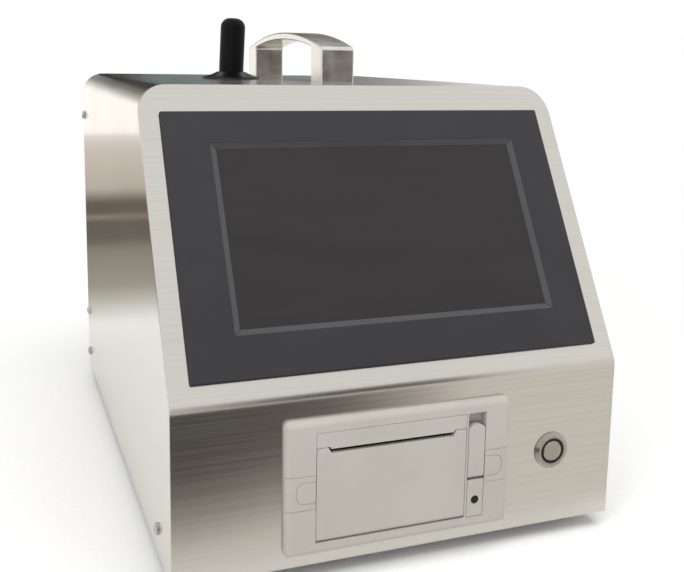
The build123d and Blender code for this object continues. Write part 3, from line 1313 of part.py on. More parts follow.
def battery_pack():
    """The wrapped battery pack."""
    pack = block(BATTERY_X1 - BATTERY_W, BATTERY_X1, *BOARD_Y, FLOOR, FLOOR + BATTERY_H)
    return fillet(pack.edges().filter_by(Axis.Y), BATTERY_R)


PIECES = {
    "wrap_cover": wrap_cover,
    "front_fascia": front_fascia,
    "base_tray": base_tray,
    "rear_panel": rear_panel,
    "cover_screws": cover_screws,
    "rubber_feet": rubber_feet,
    "foot_screws": foot_screws,
    "carry_handle": carry_handle,
    "handle_screws": handle_screws,
    "inlet_fitting": inlet_fitting,
    "inlet_nut": inlet_nut,
    "inlet_cap": inlet_cap,
    "screen_bezel": screen_bezel,
    "screen_gasket": screen_gasket,
    "display_glass": display_glass,
    "screen_case": screen_case,
    "screen_clamps": screen_clamps,
    "printer_frame": printer_frame,
    "printer_exit_bar": printer_exit_bar,
    "printer_cover_left": lambda: printer_cover(-1),
    "printer_cover_right": lambda: printer_cover(1),
    "printer_screws": printer_screws,
    "printer_pins": printer_pins,
    "printer_door": printer_door,
    "platen_roller": platen_roller,
    "platen_shaft": platen_shaft,
    "platen_gear": platen_gear,
    "print_head": print_head,
    "head_bracket": head_bracket,
    "printer_drive": printer_drive,
    "door_lever": door_lever,
    "feed_key": feed_key,
    "feed_lamp": feed_lamp,
    "button_body": button_body,
    "button_ring": button_ring,
    "power_button": power_button,
    "button_nut": button_nut,
    "fan_frame": fan_frame,
    "fan_rotor": fan_rotor,
    "rear_screws": rear_screws,
    "power_inlet": power_inlet,
    "power_contacts": power_contacts,
    "rocker_switch": rocker_switch,
    "fuse_drawer": fuse_drawer,
    "data_port": data_port,
    "sensor_block": sensor_block,
    "laser_module": laser_module,
    "detector_board": detector_board,
    "sensor_bracket": sensor_bracket,
    "sample_hose": sample_hose,
    "suction_hose": suction_hose,
    "blower_housing": blower_housing,
    "blower_lid": blower_lid,
    "blower_motor": blower_motor,
    "blower_impeller": blower_impeller,
    "exhaust_filter": exhaust_filter,
    "main_board": main_board,
    "board_posts": board_posts,
    "power_supply": power_supply,
    "battery_pack": battery_pack,
}

os.makedirs("parts", exist_ok=True)
for node, make in PIECES.items():
    save(node, make())
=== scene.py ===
"""Dresses the airborne particle counter: finishes, small fittings, studio and camera."""

import json
import math

import bmesh
import bpy
from mathutils import Matrix, Vector


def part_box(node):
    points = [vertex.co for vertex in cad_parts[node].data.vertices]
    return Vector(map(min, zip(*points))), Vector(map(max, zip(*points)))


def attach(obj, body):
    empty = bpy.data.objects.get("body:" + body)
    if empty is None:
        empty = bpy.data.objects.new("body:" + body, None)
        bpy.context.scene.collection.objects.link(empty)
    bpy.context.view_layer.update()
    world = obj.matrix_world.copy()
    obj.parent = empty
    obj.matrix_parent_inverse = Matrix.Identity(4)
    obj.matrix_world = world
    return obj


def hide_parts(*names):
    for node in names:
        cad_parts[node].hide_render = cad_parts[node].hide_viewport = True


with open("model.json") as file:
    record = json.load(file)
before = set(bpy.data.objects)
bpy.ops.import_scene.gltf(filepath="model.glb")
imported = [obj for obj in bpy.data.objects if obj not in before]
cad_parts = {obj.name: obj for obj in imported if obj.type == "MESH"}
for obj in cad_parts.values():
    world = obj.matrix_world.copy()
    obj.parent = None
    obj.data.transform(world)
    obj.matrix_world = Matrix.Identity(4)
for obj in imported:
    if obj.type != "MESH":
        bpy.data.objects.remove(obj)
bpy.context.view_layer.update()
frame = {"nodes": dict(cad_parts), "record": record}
nodes = frame["nodes"]

MM = 0.001
X, Y, Z = 0, 1, 2


# ---- small helpers ----

def placed(name, data):
    """An object with this mesh, lamp or camera, put in the scene."""
    made = bpy.data.objects.new(name, data)
    bpy.context.scene.collection.objects.link(made)
    return made


def mesh_from(work, name):
    """The mesh of a finished bmesh."""
    mesh = bpy.data.meshes.new(name)
    work.to_mesh(mesh)
    work.free()
    return mesh


def linear(hex_colour):
    """An sRGB hex colour as linear RGBA."""
    channels = [int(hex_colour[i:i + 2], 16) / 255 for i in (1, 3, 5)]
    return [c / 12.92 if c <= 0.04045 else ((c + 0.055) / 1.055) ** 2.4 for c in channels] + [1.0]


def put(tree, kind, sockets=None, **settings):
    """Adds a shader node; sockets gives each input a value or the output that feeds it."""
    made = tree.nodes.new("ShaderNode" + kind)
    for name, value in settings.items():
        setattr(made, name, value)
    for name, value in (sockets or {}).items():
        if isinstance(value, bpy.types.NodeSocket):
            tree.links.new(value, made.inputs[name])
        else:
            made.inputs[name].default_value = value
    return made


def ramp(tree, factor, stops):
    """A colour ramp through (position, hex colour) stops."""
    made = put(tree, "ValToRGB", {"Fac": factor})
    elements = made.color_ramp.elements
    while len(elements) < len(stops):
        elements.new(0.5)
    for element, (position, colour) in zip(elements, stops):
        element.position = position
        element.color = linear(colour)
    return made.outputs["Color"]


def new_material(name):
    """An empty material with its output, and the object's own coordinates in metres."""
    material = bpy.data.materials.new(name)
    material.use_nodes = True
    tree = material.node_tree
    tree.nodes.clear()
    out = put(tree, "OutputMaterial")
    place = put(tree, "TexCoord").outputs["Object"]
    return material, tree, out, place


def stretched(tree, place, scale, **noise):
    """Noise whose cells measure 1/scale metres along each axis."""
    mapped = put(tree, "Mapping", {"Vector": place, "Scale": scale}).outputs["Vector"]
    sockets = {"Vector": mapped, "Scale": 1.0}
    sockets.update(noise)
    return put(tree, "TexNoise", sockets).outputs["Fac"]


def finish_surface(tree, out, surface):
    """Shows a surface shader on the material."""
    tree.links.new(surface.outputs[0], out.inputs["Surface"])


# ---- metals ----
# The grit of the metals and the pebble of the plastics are drawn coarser than real ones, so that
# they show.

SCRATCH_W, SCRATCH_L = 0.28 * MM, 150 * MM     # drawn a little wide, so that they show
BAND_W, BAND_L, BAND_SHARE = 1.2 * MM, 600 * MM, 0.4        # groups of scratches
BELT_W, BELT_L, BELT_SHARE = 11 * MM, 1500 * MM, 0.25       # passes of the belt
PRESSURE, PRESSURE_SHARE = 60 * MM, 0.3        # cloudy patches
SMUDGE = 14 * MM                               # dulling by fingers, on small metal pieces


def brushed_sheet(name, across, colour, roughness, anisotropic):
    """Stainless sheet, grade 304, belt-brushed; across is the axis that the scratches are narrow in.

    Gives the eye fine parallel scratches, reflections drawn out across them, broad faint
    streaks from the belt's passes, and cloudy patches where it pressed unevenly.
    """
    material, tree, out, place = new_material(name)

    def streaks(width, length, detail):
        scale = [1 / length] * 3
        scale[across] = 1 / width
        return stretched(tree, place, scale, Detail=detail, Roughness=0.6)

    fine = streaks(SCRATCH_W, SCRATCH_L, 3.0)
    medium = streaks(BAND_W, BAND_L, 1.0)
    broad = streaks(BELT_W, BELT_L, 1.0)
    cloud = stretched(tree, place, [1 / PRESSURE] * 3, Detail=2.0, Roughness=0.5)
    grain = put(tree, "Mix", {"Factor": BAND_SHARE, "A": fine, "B": medium},
                data_type="FLOAT").outputs["Result"]
    toned = put(tree, "Mix", {"Factor": BELT_SHARE, "A": grain, "B": broad},
                data_type="FLOAT").outputs["Result"]
    tint = ramp(tree, toned, [(0.3, colour[0]), (0.5, colour[1]), (0.7, colour[2])])
    worn = put(tree, "Mix", {"Factor": PRESSURE_SHARE, "A": grain, "B": cloud},
               data_type="FLOAT").outputs["Result"]
    rough = put(tree, "MapRange", {"Value": worn, "From Min": 0.3, "From Max": 0.7,
                                   "To Min": roughness - 0.035, "To Max": roughness + 0.045})
    bump = put(tree, "Bump", {"Strength": 0.1, "Distance": 0.012 * MM, "Height": grain})
    lay = put(tree, "CombineXYZ", {"XYZ"[across]: 1.0})
    surface = put(tree, "BsdfPrincipled", {"Base Color": tint, "Metallic": 1.0,
                                           "Roughness": rough.outputs["Result"],
                                           "Anisotropic": anisotropic, "Normal": bump.outputs["Normal"],
                                           "Tangent": lay.outputs["Vector"]})
    finish_surface(tree, out, surface)
    return material


def satin_metal(name, colour, roughness, grit_mm, strength=0.10):
    """Turned, blasted or plated metal with a fine even grit.

    Gives the eye a soft sheen that is broken a little by tiny dents and finger dulling.
    """
    material, tree, out, place = new_material(name)
    grit = stretched(tree, place, [1 / (grit_mm * MM)] * 3, Detail=2.0, Roughness=0.6)
    smudge = stretched(tree, place, [1 / SMUDGE] * 3, Detail=3.0, Roughness=0.55)
    tint = ramp(tree, smudge, [(0.3, colour[0]), (0.7, colour[1])])
    rough = put(tree, "MapRange", {"Value": smudge, "From Min": 0.3, "From Max": 0.7,
                                   "To Min": roughness - 0.04, "To Max": roughness + 0.06})
    bump = put(tree, "Bump", {"Strength": strength, "Distance": 0.03 * MM, "Height": grit})
    surface = put(tree, "BsdfPrincipled", {"Base Color": tint, "Metallic": 1.0,
                                           "Roughness": rough.outputs["Result"],
                                           "Normal": bump.outputs["Normal"]})
    finish_surface(tree, out, surface)
    return material


# ---- plastics and rubber ----

PLASTIC_IOR, FILM_IOR = 1.53, 1.5
HANDLING = 35 * MM                   # clouded patches
WIPE_L, WIPE_W = 60 * MM, 9 * MM     # wiping marks on the touch film
FILM_GRIT = 0.35 * MM


def moulded_plastic(name, colour, roughness, grain_mm, depth_mm, specular=0.5):
    """Injection-moulded plastic with a spark-eroded texture.

    Gives the eye a fine even pebble, a soft sheen, and slight clouding from handling.
    """
    material, tree, out, place = new_material(name)
    pebble = stretched(tree, place, [1 / (grain_mm * MM)] * 3, Detail=2.0, Roughness=0.5)
    cloud = stretched(tree, place, [1 / HANDLING] * 3, Detail=3.0, Roughness=0.5)
    tint = ramp(tree, cloud, [(0.3, colour[0]), (0.7, colour[1])])
    rough = put(tree, "MapRange", {"Value": cloud, "From Min": 0.3, "From Max": 0.7,
                                   "To Min": roughness - 0.03, "To Max": roughness + 0.05})
    bump = put(tree, "Bump", {"Strength": 0.35, "Distance": depth_mm * MM, "Height": pebble})
    surface = put(tree, "BsdfPrincipled", {"Base Color": tint, "Metallic": 0.0,
                                           "Roughness": rough.outputs["Result"],
                                           "IOR": PLASTIC_IOR, "Specular IOR Level": specular,
                                           "Normal": bump.outputs["Normal"]})
    finish_surface(tree, out, surface)
    return material


# Light sheet whose grain runs across the front and rear, and up and over the cover.
FRONT_STEEL = brushed_sheet("stainless_304_brushed_across", Z, ("#CAC6C0", "#D0CCC6", "#D5D2CC"), 0.2, 0.75)
COVER_STEEL = brushed_sheet("stainless_304_brushed_around", Y, ("#D9D5CC", "#DFDBD3", "#E5E2DB"), 0.15, 0.75)

# Dull grey tray, bright fasteners, warmer turned button, and a handle that is nearly white.
TRAY_STEEL = satin_metal("stainless_mill_finish", ("#A9A8A4", "#C4C3BF"), 0.36, 0.5)
PLATED_STEEL = satin_metal("zinc_plated_steel", ("#A7A8A9", "#C9CACB"), 0.24, 0.4, 0.03)
TURNED_STEEL = satin_metal("turned_stainless", ("#9B978F", "#B0ACA4"), 0.24, 0.4, 0.03)
HANDLE_METAL = satin_metal("satin_nickel_plated_zinc", ("#D6D3CE", "#E2E0DB"), 0.22, 0.5, 0.008)

# Nearly black metal with a grey sheen, pale gold contacts, and a light dull case.
INLET_METAL = satin_metal("black_anodised_aluminium", ("#333437", "#434447"), 0.32, 0.4, 0.04)
BRASS = satin_metal("nickel_plated_brass", ("#B9AC86", "#DDD2AE"), 0.25, 0.2)
ALUMINIUM = satin_metal("mill_aluminium", ("#A9ABAD", "#CDCFD1"), 0.35, 0.4)

# Matt warm grey printer, and a matt charcoal bezel whose slopes are polished to catch the room, and whose
# slopes also carry a lighter base colour that is painted light.
PRINTER_ABS = moulded_plastic("abs_warm_grey_textured", ("#B4B0A8", "#BBB7B0"), 0.5, 0.45, 0.02,
                              specular=0.35)
BEZEL_ABS = moulded_plastic("abs_pc_dark_grey_textured", ("#2D2C2F", "#323134"), 0.5, 0.4, 0.02,
                            specular=0.24)
# The slopes' lighter base colour is painted light, standing for light that falls on them; only their higher
# polish and sheen are real.
BEZEL_SLOPES_PAINTED_LIGHTER = moulded_plastic("abs_pc_dark_grey_polished_painted_lighter", ("#323134", "#383739"), 0.34, 0.8, 0.004,
                                specular=0.65)

# Blacks told apart by their sheen: satin mouldings, dull rubbers and foam, glossier ring and lamp.
BLACK_PA = moulded_plastic("nylon_black_glass_filled", ("#17181A", "#222325"), 0.5, 0.6, 0.03, specular=0.3)
CASE_PC = moulded_plastic("polycarbonate_black", ("#1C1D20", "#27282B"), 0.42, 0.6, 0.03, specular=0.3)
CAP_RUBBER = moulded_plastic("epdm_rubber_black", ("#040404", "#0A0A0B"), 0.45, 0.8, 0.04, specular=0.12)
FOOT_RUBBER = moulded_plastic("nitrile_rubber_black", ("#131313", "#1E1E1E"), 0.62, 0.7, 0.05,
                              specular=0.25)
RING_ABS = moulded_plastic("light_guide_ring_black", ("#0C0D0E", "#16171A"), 0.28, 0.5, 0.01, specular=0.3)
LAMP_LENS = moulded_plastic("smoked_lamp_lens", ("#0A0A0B", "#151517"), 0.2, 0.5, 0.01, specular=0.3)
FOAM = moulded_plastic("closed_cell_foam_black", ("#141414", "#1D1D1D"), 0.8, 0.9, 0.1)

# Colours of the works inside, and of the marks on the rocker.
GEAR_POM = moulded_plastic("acetal_natural_white", ("#D9D8D0", "#E7E6DF"), 0.4, 0.5, 0.02)
BOARD_FR4 = moulded_plastic("glass_epoxy_solder_mask_green", ("#0E4A2A", "#175C37"), 0.35, 0.8, 0.03)
SILICONE = moulded_plastic("silicone_hose_milky", ("#C9C8C0", "#DAD9D2"), 0.45, 0.8, 0.03)
SHRINK_BLUE = moulded_plastic("pvc_shrink_wrap_blue", ("#1C3C7A", "#264A8E"), 0.3, 1.2, 0.05)
CAPSULE_PP = moulded_plastic("polypropylene_white", ("#DCDDDA", "#EAEAE7"), 0.4, 0.6, 0.03)
HEAD_CERAMIC = moulded_plastic("alumina_glazed_head", ("#6A5A48", "#7B6A56"), 0.25, 0.5, 0.02)
MARK_INK = moulded_plastic("pad_print_ink_white", ("#D8D8D4", "#E6E6E2"), 0.5, 0.5, 0.01)


def touch_panel():
    """Hard-coated polyester touch film over an unlit display.

    Gives the eye an almost even dark grey with a blurred sheen and a trace of wiping marks.
    """
    material, tree, out, place = new_material("touch_film_hard_coated")
    wipe = stretched(tree, place, [1 / WIPE_L, 1 / WIPE_W, 1 / WIPE_W], Detail=3.0, Roughness=0.6)
    grit = stretched(tree, place, [1 / FILM_GRIT] * 3, Detail=1.0)
    tint = ramp(tree, wipe, [(0.3, "#252323"), (0.7, "#282626")])
    rough = put(tree, "MapRange", {"Value": wipe, "From Min": 0.3, "From Max": 0.7,
                                   "To Min": 0.3, "To Max": 0.4})
    bump = put(tree, "Bump", {"Strength": 0.2, "Distance": 0.01 * MM, "Height": grit})
    surface = put(tree, "BsdfPrincipled", {"Base Color": tint, "Roughness": rough.outputs["Result"],
                                           "IOR": FILM_IOR, "Specular IOR Level": 0.3,
                                           "Normal": bump.outputs["Normal"]})
    finish_surface(tree, out, surface)
    return material


TOUCH_FILM = touch_panel()

FINISH = {
    "brushed_stainless": COVER_STEEL,
    "bare_stainless": TRAY_STEEL,
    "steel_fasteners": PLATED_STEEL,
    "foot_rubber": FOOT_RUBBER,
    "handle_aluminium": HANDLE_METAL,
    "inlet_metal": INLET_METAL,
    "cap_rubber": CAP_RUBBER,
    "bezel_plastic": BEZEL_ABS,
    "display_glass": TOUCH_FILM,
    "dark_foam": FOAM,
    "case_plastic": CASE_PC,
    "printer_plastic": PRINTER_ABS,
    "platen_rubber": FOOT_RUBBER,
    "ceramic_head": HEAD_CERAMIC,
    "gear_plastic": GEAR_POM,
    "lamp_lens": LAMP_LENS,
    "button_steel": TURNED_STEEL,
    "ring_black": RING_ABS,
    "black_plastic": BLACK_PA,
    "contact_brass": BRASS,
    "port_metal": PLATED_STEEL,
    "sensor_aluminium": INLET_METAL,
    "hose_silicone": SILICONE,
    "circuit_board": BOARD_FR4,
    "supply_case": ALUMINIUM,
    "battery_wrap": SHRINK_BLUE,
    "filter_case": CAPSULE_PP,
}
bodies = frame["record"]["behaviour"]["bodies"]
SLOT_OF = {row["node"]: row["material_slot"] for row in frame["record"]["subparts"]}
BODY_OF = {node: body for body, members in bodies.items() for node in members}

# Every solid starts with the finish of its slot.
for name, node in nodes.items():
    for slot in node.material_slots:
        slot.material = FINISH[SLOT_OF[name]]


# ---- pieces built over the solids ----

WELD = 1e-6                              # metres
ON_CUT = 1e-7                            # metres
JOINED = math.radians(0.5)               # flatter edges than this are taken away
CRISP = math.radians(40)                 # sharper edges than this stay crisp on screws and pins
SAME_PLANE = 0.99995                     # cosine of the angle between faces of one flat
SMOOTH_COS = math.cos(math.radians(35))  # curved faces within this share a normal
EASED_COS = 0.3                          # an eased edge takes its flat's normal within this
BROKEN_FACE = 0.5                        # the normal of a face with no area is shorter


def even_shading(obj):
    """Smooth shading that follows the large faces, with crisp edges."""
    for polygon in obj.data.polygons:
        polygon.use_smooth = True
    obj.data.set_sharp_from_angle(angle=CRISP)
    weighted = obj.modifiers.new("even_normals", "WEIGHTED_NORMAL")
    weighted.keep_sharp = True
    weighted.weight = 100
    settle(obj)


def settle(obj):
    """Applies the modifiers that the piece was made with."""
    bpy.context.view_layer.update()
    depsgraph = bpy.context.evaluated_depsgraph_get()
    made = bpy.data.meshes.new_from_object(obj.evaluated_get(depsgraph))
    obj.modifiers.clear()
    obj.data = made


def islands(mesh):
    """The boxes of a mesh's separate lumps, as (lowest, highest) corners, in no fixed order."""
    work = bmesh.new()
    work.from_mesh(mesh)
    unseen = set(work.verts)
    boxes = []
    while unseen:
        edge_of_walk = [unseen.pop()]
        lump = list(edge_of_walk)
        while edge_of_walk:
            for edge in edge_of_walk.pop().link_edges:
                for vert in edge.verts:
                    if vert in unseen:
                        unseen.remove(vert)
                        edge_of_walk.append(vert)
                        lump.append(vert)
        points = [v.co.copy() for v in lump]
        boxes.append((Vector(min(p[i] for p in points) for i in range(3)),
                      Vector(max(p[i] for p in points) for i in range(3))))
    work.free()
    return boxes


def middle_of(node, axis):
    """The middle of a solid along an axis."""
    low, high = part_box(node)
    return (low[axis] + high[axis]) / 2


def cut_to_triangles(mesh):
    """Faces of more than four corners are cut to triangles, which keeps their holes open."""
    work = bmesh.new()
    work.from_mesh(mesh)
    bmesh.ops.triangulate(work, faces=[f for f in work.faces if len(f.verts) > 4])
    work.to_mesh(mesh)
    work.free()


def copied(node, suffix, material, cuts=()):
    """A copy of a solid, welded and with its flats joined, to be worked on.

    cuts are places along X where the flats stay parted, so that no flat runs round a hole.
    """
    piece = placed(node + suffix, nodes[node].data.copy())
    mesh = piece.data
    mesh.materials.clear()
    mesh.materials.append(material)
    work = bmesh.new()
    work.from_mesh(mesh)
    bmesh.ops.remove_doubles(work, verts=work.verts, dist=WELD)
    for x in cuts:
        parts = work.verts[:] + work.edges[:] + work.faces[:]
        seam = bmesh.ops.bisect_plane(work, geom=parts, dist=ON_CUT, plane_co=(x, 0, 0), plane_no=(1, 0, 0))
        for part in seam["geom_cut"]:
            if isinstance(part, bmesh.types.BMEdge):
                part.seam = True
    bmesh.ops.dissolve_limit(work, angle_limit=JOINED, verts=work.verts, edges=work.edges, delimit={"SEAM"})
    work.to_mesh(mesh)
    work.free()
    return piece


def stand_for(piece, node):
    """The piece is shown in place of the solid and moves with its body."""
    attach(piece, BODY_OF[node])
    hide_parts(node)


def flat_groups(work):
    """The group of each face, where neighbours that lie in one plane share a group."""
    group = [-1] * len(work.faces)
    for start in work.faces:
        if group[start.index] >= 0:
            continue
        group[start.index] = start.index
        queue = [start]
        while queue:
            face = queue.pop()
            for edge in face.edges:
                for other in edge.link_faces:
                    if group[other.index] < 0 and other.normal.dot(start.normal) > SAME_PLANE:
                        group[other.index] = start.index
                        queue.append(other)
    return group


def shade_by_flats(mesh):
    """Corner normals that follow the large flats, so no thin triangle leans at an eased edge.

    Material 1 marks the eased edges: where one of them meets a flat it takes the flat's normal.
    """
    work = bmesh.new()
    work.from_mesh(mesh)
    work.normal_update()
    group = flat_groups(work)
    spread = [0.0] * len(work.faces)
    for face in work.faces:
        spread[group[face.index]] += face.calc_area()
    normals = []
    for face in work.faces:
        eased = face.material_index == 1
        for corner in face.verts:
            around = [f for f in corner.link_faces if f.normal.length > BROKEN_FACE]
            flats = [f for f in around if f.material_index == 0]
            limit = SMOOTH_COS
            if eased and flats:
                limit = EASED_COS
                around = [max(flats, key=lambda f: f.normal.dot(face.normal))]
            elif not eased:
                around = flats
            total = Vector((0.0, 0.0, 0.0))
            for f in around:
                if f.normal.dot(face.normal) > limit:
                    total += f.normal * (f.calc_area() if eased else spread[group[f.index]])
            normals.append(total.normalized() if total.length > 0 else face.normal.copy())
    work.free()
    for polygon in mesh.polygons:
        polygon.use_smooth = True
        polygon.material_index = 0
    mesh.normals_split_custom_set(normals)


CHAMFER_COS = (0.35, 0.985)     # how far a chamfer leans from the bezel's face
CHAMFER_LEAST = 0.5 * MM        # narrower slopes are eased edges


def polish_and_lighten_chamfers(piece, material):
    """The slopes round the bezel's window are polished in the mould, so they catch the room; their lighter
    base colour is a painted highlight that stands for light falling on them.
    """
    mesh = piece.data
    mesh.materials.append(material)
    face_of_bezel = max((p for p in mesh.polygons if p.normal.y < 0), key=lambda p: p.area).normal.copy()
    for polygon in mesh.polygons:
        longest = max((mesh.vertices[a].co - mesh.vertices[b].co).length for a, b in polygon.edge_keys)
        lean = polygon.normal.dot(face_of_bezel)
        if CHAMFER_COS[0] < lean < CHAMFER_COS[1] and polygon.area / longest > CHAMFER_LEAST:
            polygon.material_index = 1


def dress(node, material, radius_mm, angle=30, cuts=()):
    """A copy of a solid with its edges eased, which stands for the solid."""
    piece = copied(node, "_eased", material, cuts)
    # The second slot marks the eased edges for shade_by_flats, and goes again after it.
    piece.data.materials.append(material)
    bevel = piece.modifiers.new("eased_edges", "BEVEL")
    bevel.width = radius_mm * MM
    bevel.segments = 2
    bevel.limit_method = "ANGLE"
    bevel.angle_limit = math.radians(angle)
    bevel.use_clamp_overlap = False
    bevel.miter_outer = "MITER_ARC"
    bevel.material = 1
    settle(piece)
    cut_to_triangles(piece.data)
    shade_by_flats(piece.data)
    piece.data.materials.pop()
    stand_for(piece, node)
    return piece


SHEET_EASE, FRONT_EASE, REAR_EASE, MOULDED_EASE = 0.25, 0.3, 0.2, 0.18     # mm
VENT_X = -50 * MM               # the exhaust vent's middle
PORT_SCREW = 12.5 * MM          # from the data port's middle to each of its screws
rear_hole_places = {round((low.x + high.x) / 2, 6) for low, high in islands(nodes["rear_screws"].data)}
rear_hole_places |= {middle_of("fan_frame", X), middle_of("power_inlet", X), VENT_X}
rear_hole_places |= {middle_of("data_port", X) + side * PORT_SCREW for side in (-1, 0, 1)}

dress("wrap_cover", COVER_STEEL, SHEET_EASE)
dress("front_fascia", FRONT_STEEL, FRONT_EASE,
      cuts=[middle_of("printer_frame", X), middle_of("power_button", X)])
dress("rear_panel", FRONT_STEEL, REAR_EASE, cuts=sorted(rear_hole_places))
# The bezel's window slopes get their polish and a lighter base colour here; the lighter colour is painted
# light.
polish_and_lighten_chamfers(dress("screen_bezel", BEZEL_ABS, SHEET_EASE, angle=15), BEZEL_SLOPES_PAINTED_LIGHTER)
for moulding in ("printer_exit_bar", "printer_cover_left", "printer_cover_right",
                 "printer_door", "door_lever", "feed_key", "printer_frame"):
    dress(moulding, PRINTER_ABS, MOULDED_EASE)


CROSS_ARM = 1.5 * MM      # half length of a screw's cross recess
CROSS_SLOT = 0.4 * MM     # half width of its slots
CROSS_DEEP = 1.1 * MM     # depth below the top of the head
CROSS_ABOVE = 0.4 * MM    # how far the cutter stands over it
CROSS_TAPER = 0.55        # size at the bottom as a share of the top
FIRST_TURN, NEXT_TURN = 20, 37     # degrees, so that no two crosses in a row stand alike


def cross_cutters(places):
    """One mesh of tapered crosses, each standing at (head, outward, sideways)."""
    work = bmesh.new()
    for head, outward, sideways in places:
        third = outward.cross(sideways)
        rings = []
        for depth, shrink in ((CROSS_ABOVE, 1.0), (-CROSS_DEEP, CROSS_TAPER)):
            arm, slot = CROSS_ARM * shrink, CROSS_SLOT * shrink
            corners = []
            for turn in range(4):
                a = Vector((math.cos(turn * math.pi / 2), math.sin(turn * math.pi / 2)))
                b = Vector((-a.y, a.x))
                corners += [a * arm - b * slot, a * arm + b * slot, a * slot + b * slot]
            ring_at = head + outward * depth
            rings.append([work.verts.new(ring_at + sideways * c.x + third * c.y) for c in corners])
        outer, inner = rings
        work.faces.new(outer)
        work.faces.new(inner[::-1])
        for i in range(len(outer)):
            k = (i + 1) % len(outer)
            work.faces.new((outer[k], outer[i], inner[i], inner[k]))
    bmesh.ops.recalc_face_normals(work, faces=work.faces)
    return mesh_from(work, "cross_cutters")


def recess_screws(node, side_of):
    """Screws with a cross recess cut in each head; side_of gives a head's outward direction."""
    piece = copied(node, "_recessed", FINISH[SLOT_OF[node]])
    places = []
    for low, high in islands(piece.data):
        middle = (low + high) / 2
        outward = side_of(middle)
        head = middle.copy()
        for axis in (X, Y, Z):
            if outward[axis]:
                head[axis] = high[axis] if outward[axis] > 0 else low[axis]
        turn = math.radians(NEXT_TURN * len(places) + FIRST_TURN)
        level = Vector((0, 0, 1)) if abs(outward.z) < 0.5 else Vector((0, 1, 0))
        sideways = Matrix.Rotation(turn, 3, outward) @ level
        places.append((head, outward, sideways))
    cutter = placed("cross_cutters", cross_cutters(places))
    cut = piece.modifiers.new("cross_recess", "BOOLEAN")
    cut.operation = "DIFFERENCE"
    cut.solver = "EXACT"
    cut.object = cutter
    settle(piece)
    bpy.data.objects.remove(cutter)
    even_shading(piece)
    stand_for(piece, node)


recess_screws("cover_screws", lambda at: Vector((1 if at.x > 0 else -1, 0, 0)))
recess_screws("rear_screws", lambda at: Vector((0, 1, 0)))
recess_screws("foot_screws", lambda at: Vector((0, 0, -1)))


MARK_RING_IN, MARK_RING_OUT = 1.15 * MM, 1.55 * MM
MARK_BAR_W, MARK_BAR_H = 0.22 * MM, 1.5 * MM       # half sizes
MARK_LIFT, MARK_INK_T = 0.03 * MM, 0.02 * MM
RING_SIDES = 32
ROCKER_HALF_AREA = 12 * MM * MM                    # each half of the rocker has more than this
ROCKER_FACING = 0.85                               # and its normal has more than this along Y
ACROSS = Vector((1, 0, 0))


def printed_ring(work, centre, along):
    """Adds the ring that marks off."""
    rims = []
    for radius in (MARK_RING_IN, MARK_RING_OUT):
        rim = []
        for side in range(RING_SIDES):
            angle = 2 * math.pi * side / RING_SIDES
            reach = ACROSS * radius * math.cos(angle) + along * radius * math.sin(angle)
            rim.append(work.verts.new(centre + reach))
        rims.append(rim)
    inner, outer = rims
    for i in range(RING_SIDES):
        k = (i + 1) % RING_SIDES
        work.faces.new((inner[i], outer[i], outer[k], inner[k]))


def printed_bar(work, centre, along):
    """Adds the bar that marks on."""
    work.faces.new([work.verts.new(centre + ACROSS * a * MARK_BAR_W + along * b * MARK_BAR_H)
                    for a, b in ((-1, -1), (1, -1), (1, 1), (-1, 1))])


def rocker_marks():
    """The printed ring and bar on the two halves of the mains rocker.

    The rocker's halves rise from its middle to its ends, and the whole is tilted on its pin,
    so each mark lies on a slope that is read from the switch's own faces.
    """
    switch = nodes["rocker_switch"].data
    outward = [p for p in switch.polygons if p.normal.y > ROCKER_FACING and p.area > ROCKER_HALF_AREA]
    upper = max(outward, key=lambda p: p.center.z)
    lower = min(outward, key=lambda p: p.center.z)
    low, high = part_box("rocker_switch")
    quarter = (high[Z] - low[Z]) / 4
    work = bmesh.new()
    for half, height, mark in ((upper, quarter, printed_ring), (lower, -quarter, printed_bar)):
        normal = half.normal.normalized()
        along = ACROSS.cross(normal).normalized()
        corner = switch.vertices[half.vertices[0]].co
        mark_z = middle_of("rocker_switch", Z) + height
        centre = corner + along * (mark_z - corner.z) / along.z
        centre.x = middle_of("rocker_switch", X)
        mark(work, centre + normal * MARK_LIFT, along)
    bmesh.ops.solidify(work, geom=work.faces[:], thickness=MARK_INK_T)
    bmesh.ops.recalc_face_normals(work, faces=work.faces)
    marks = placed("rocker_marks", mesh_from(work, "rocker_marks"))
    marks.data.materials.append(MARK_INK)
    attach(marks, BODY_OF["rocker_switch"])


rocker_marks()


INSULATOR_W, INSULATOR_H = 7.6 * MM, 3.4 * MM      # half sizes of the face inside the shell
INSULATOR_FACING = 0.9                             # its normal has more than this along Y
INSULATOR_DIP = 0.1 * MM                           # its facets lie within this of one another
SHELL_LEAST = 2 * MM                               # the shell stands at least this far over it
PIN_R, PIN_TIP_R, PIN_TIP_L = 0.5 * MM, 0.2 * MM, 0.5 * MM
PIN_PITCH, PIN_ROW = 2.77 * MM, 1.42 * MM          # along a row, and from the middle to each row
PIN_SHORT = 1.5 * MM                               # from the shell's rim down to the pins' shoulders
PIN_SIDES = 14
OUT_OF_REAR = Matrix.Rotation(-math.pi / 2, 4, "X")


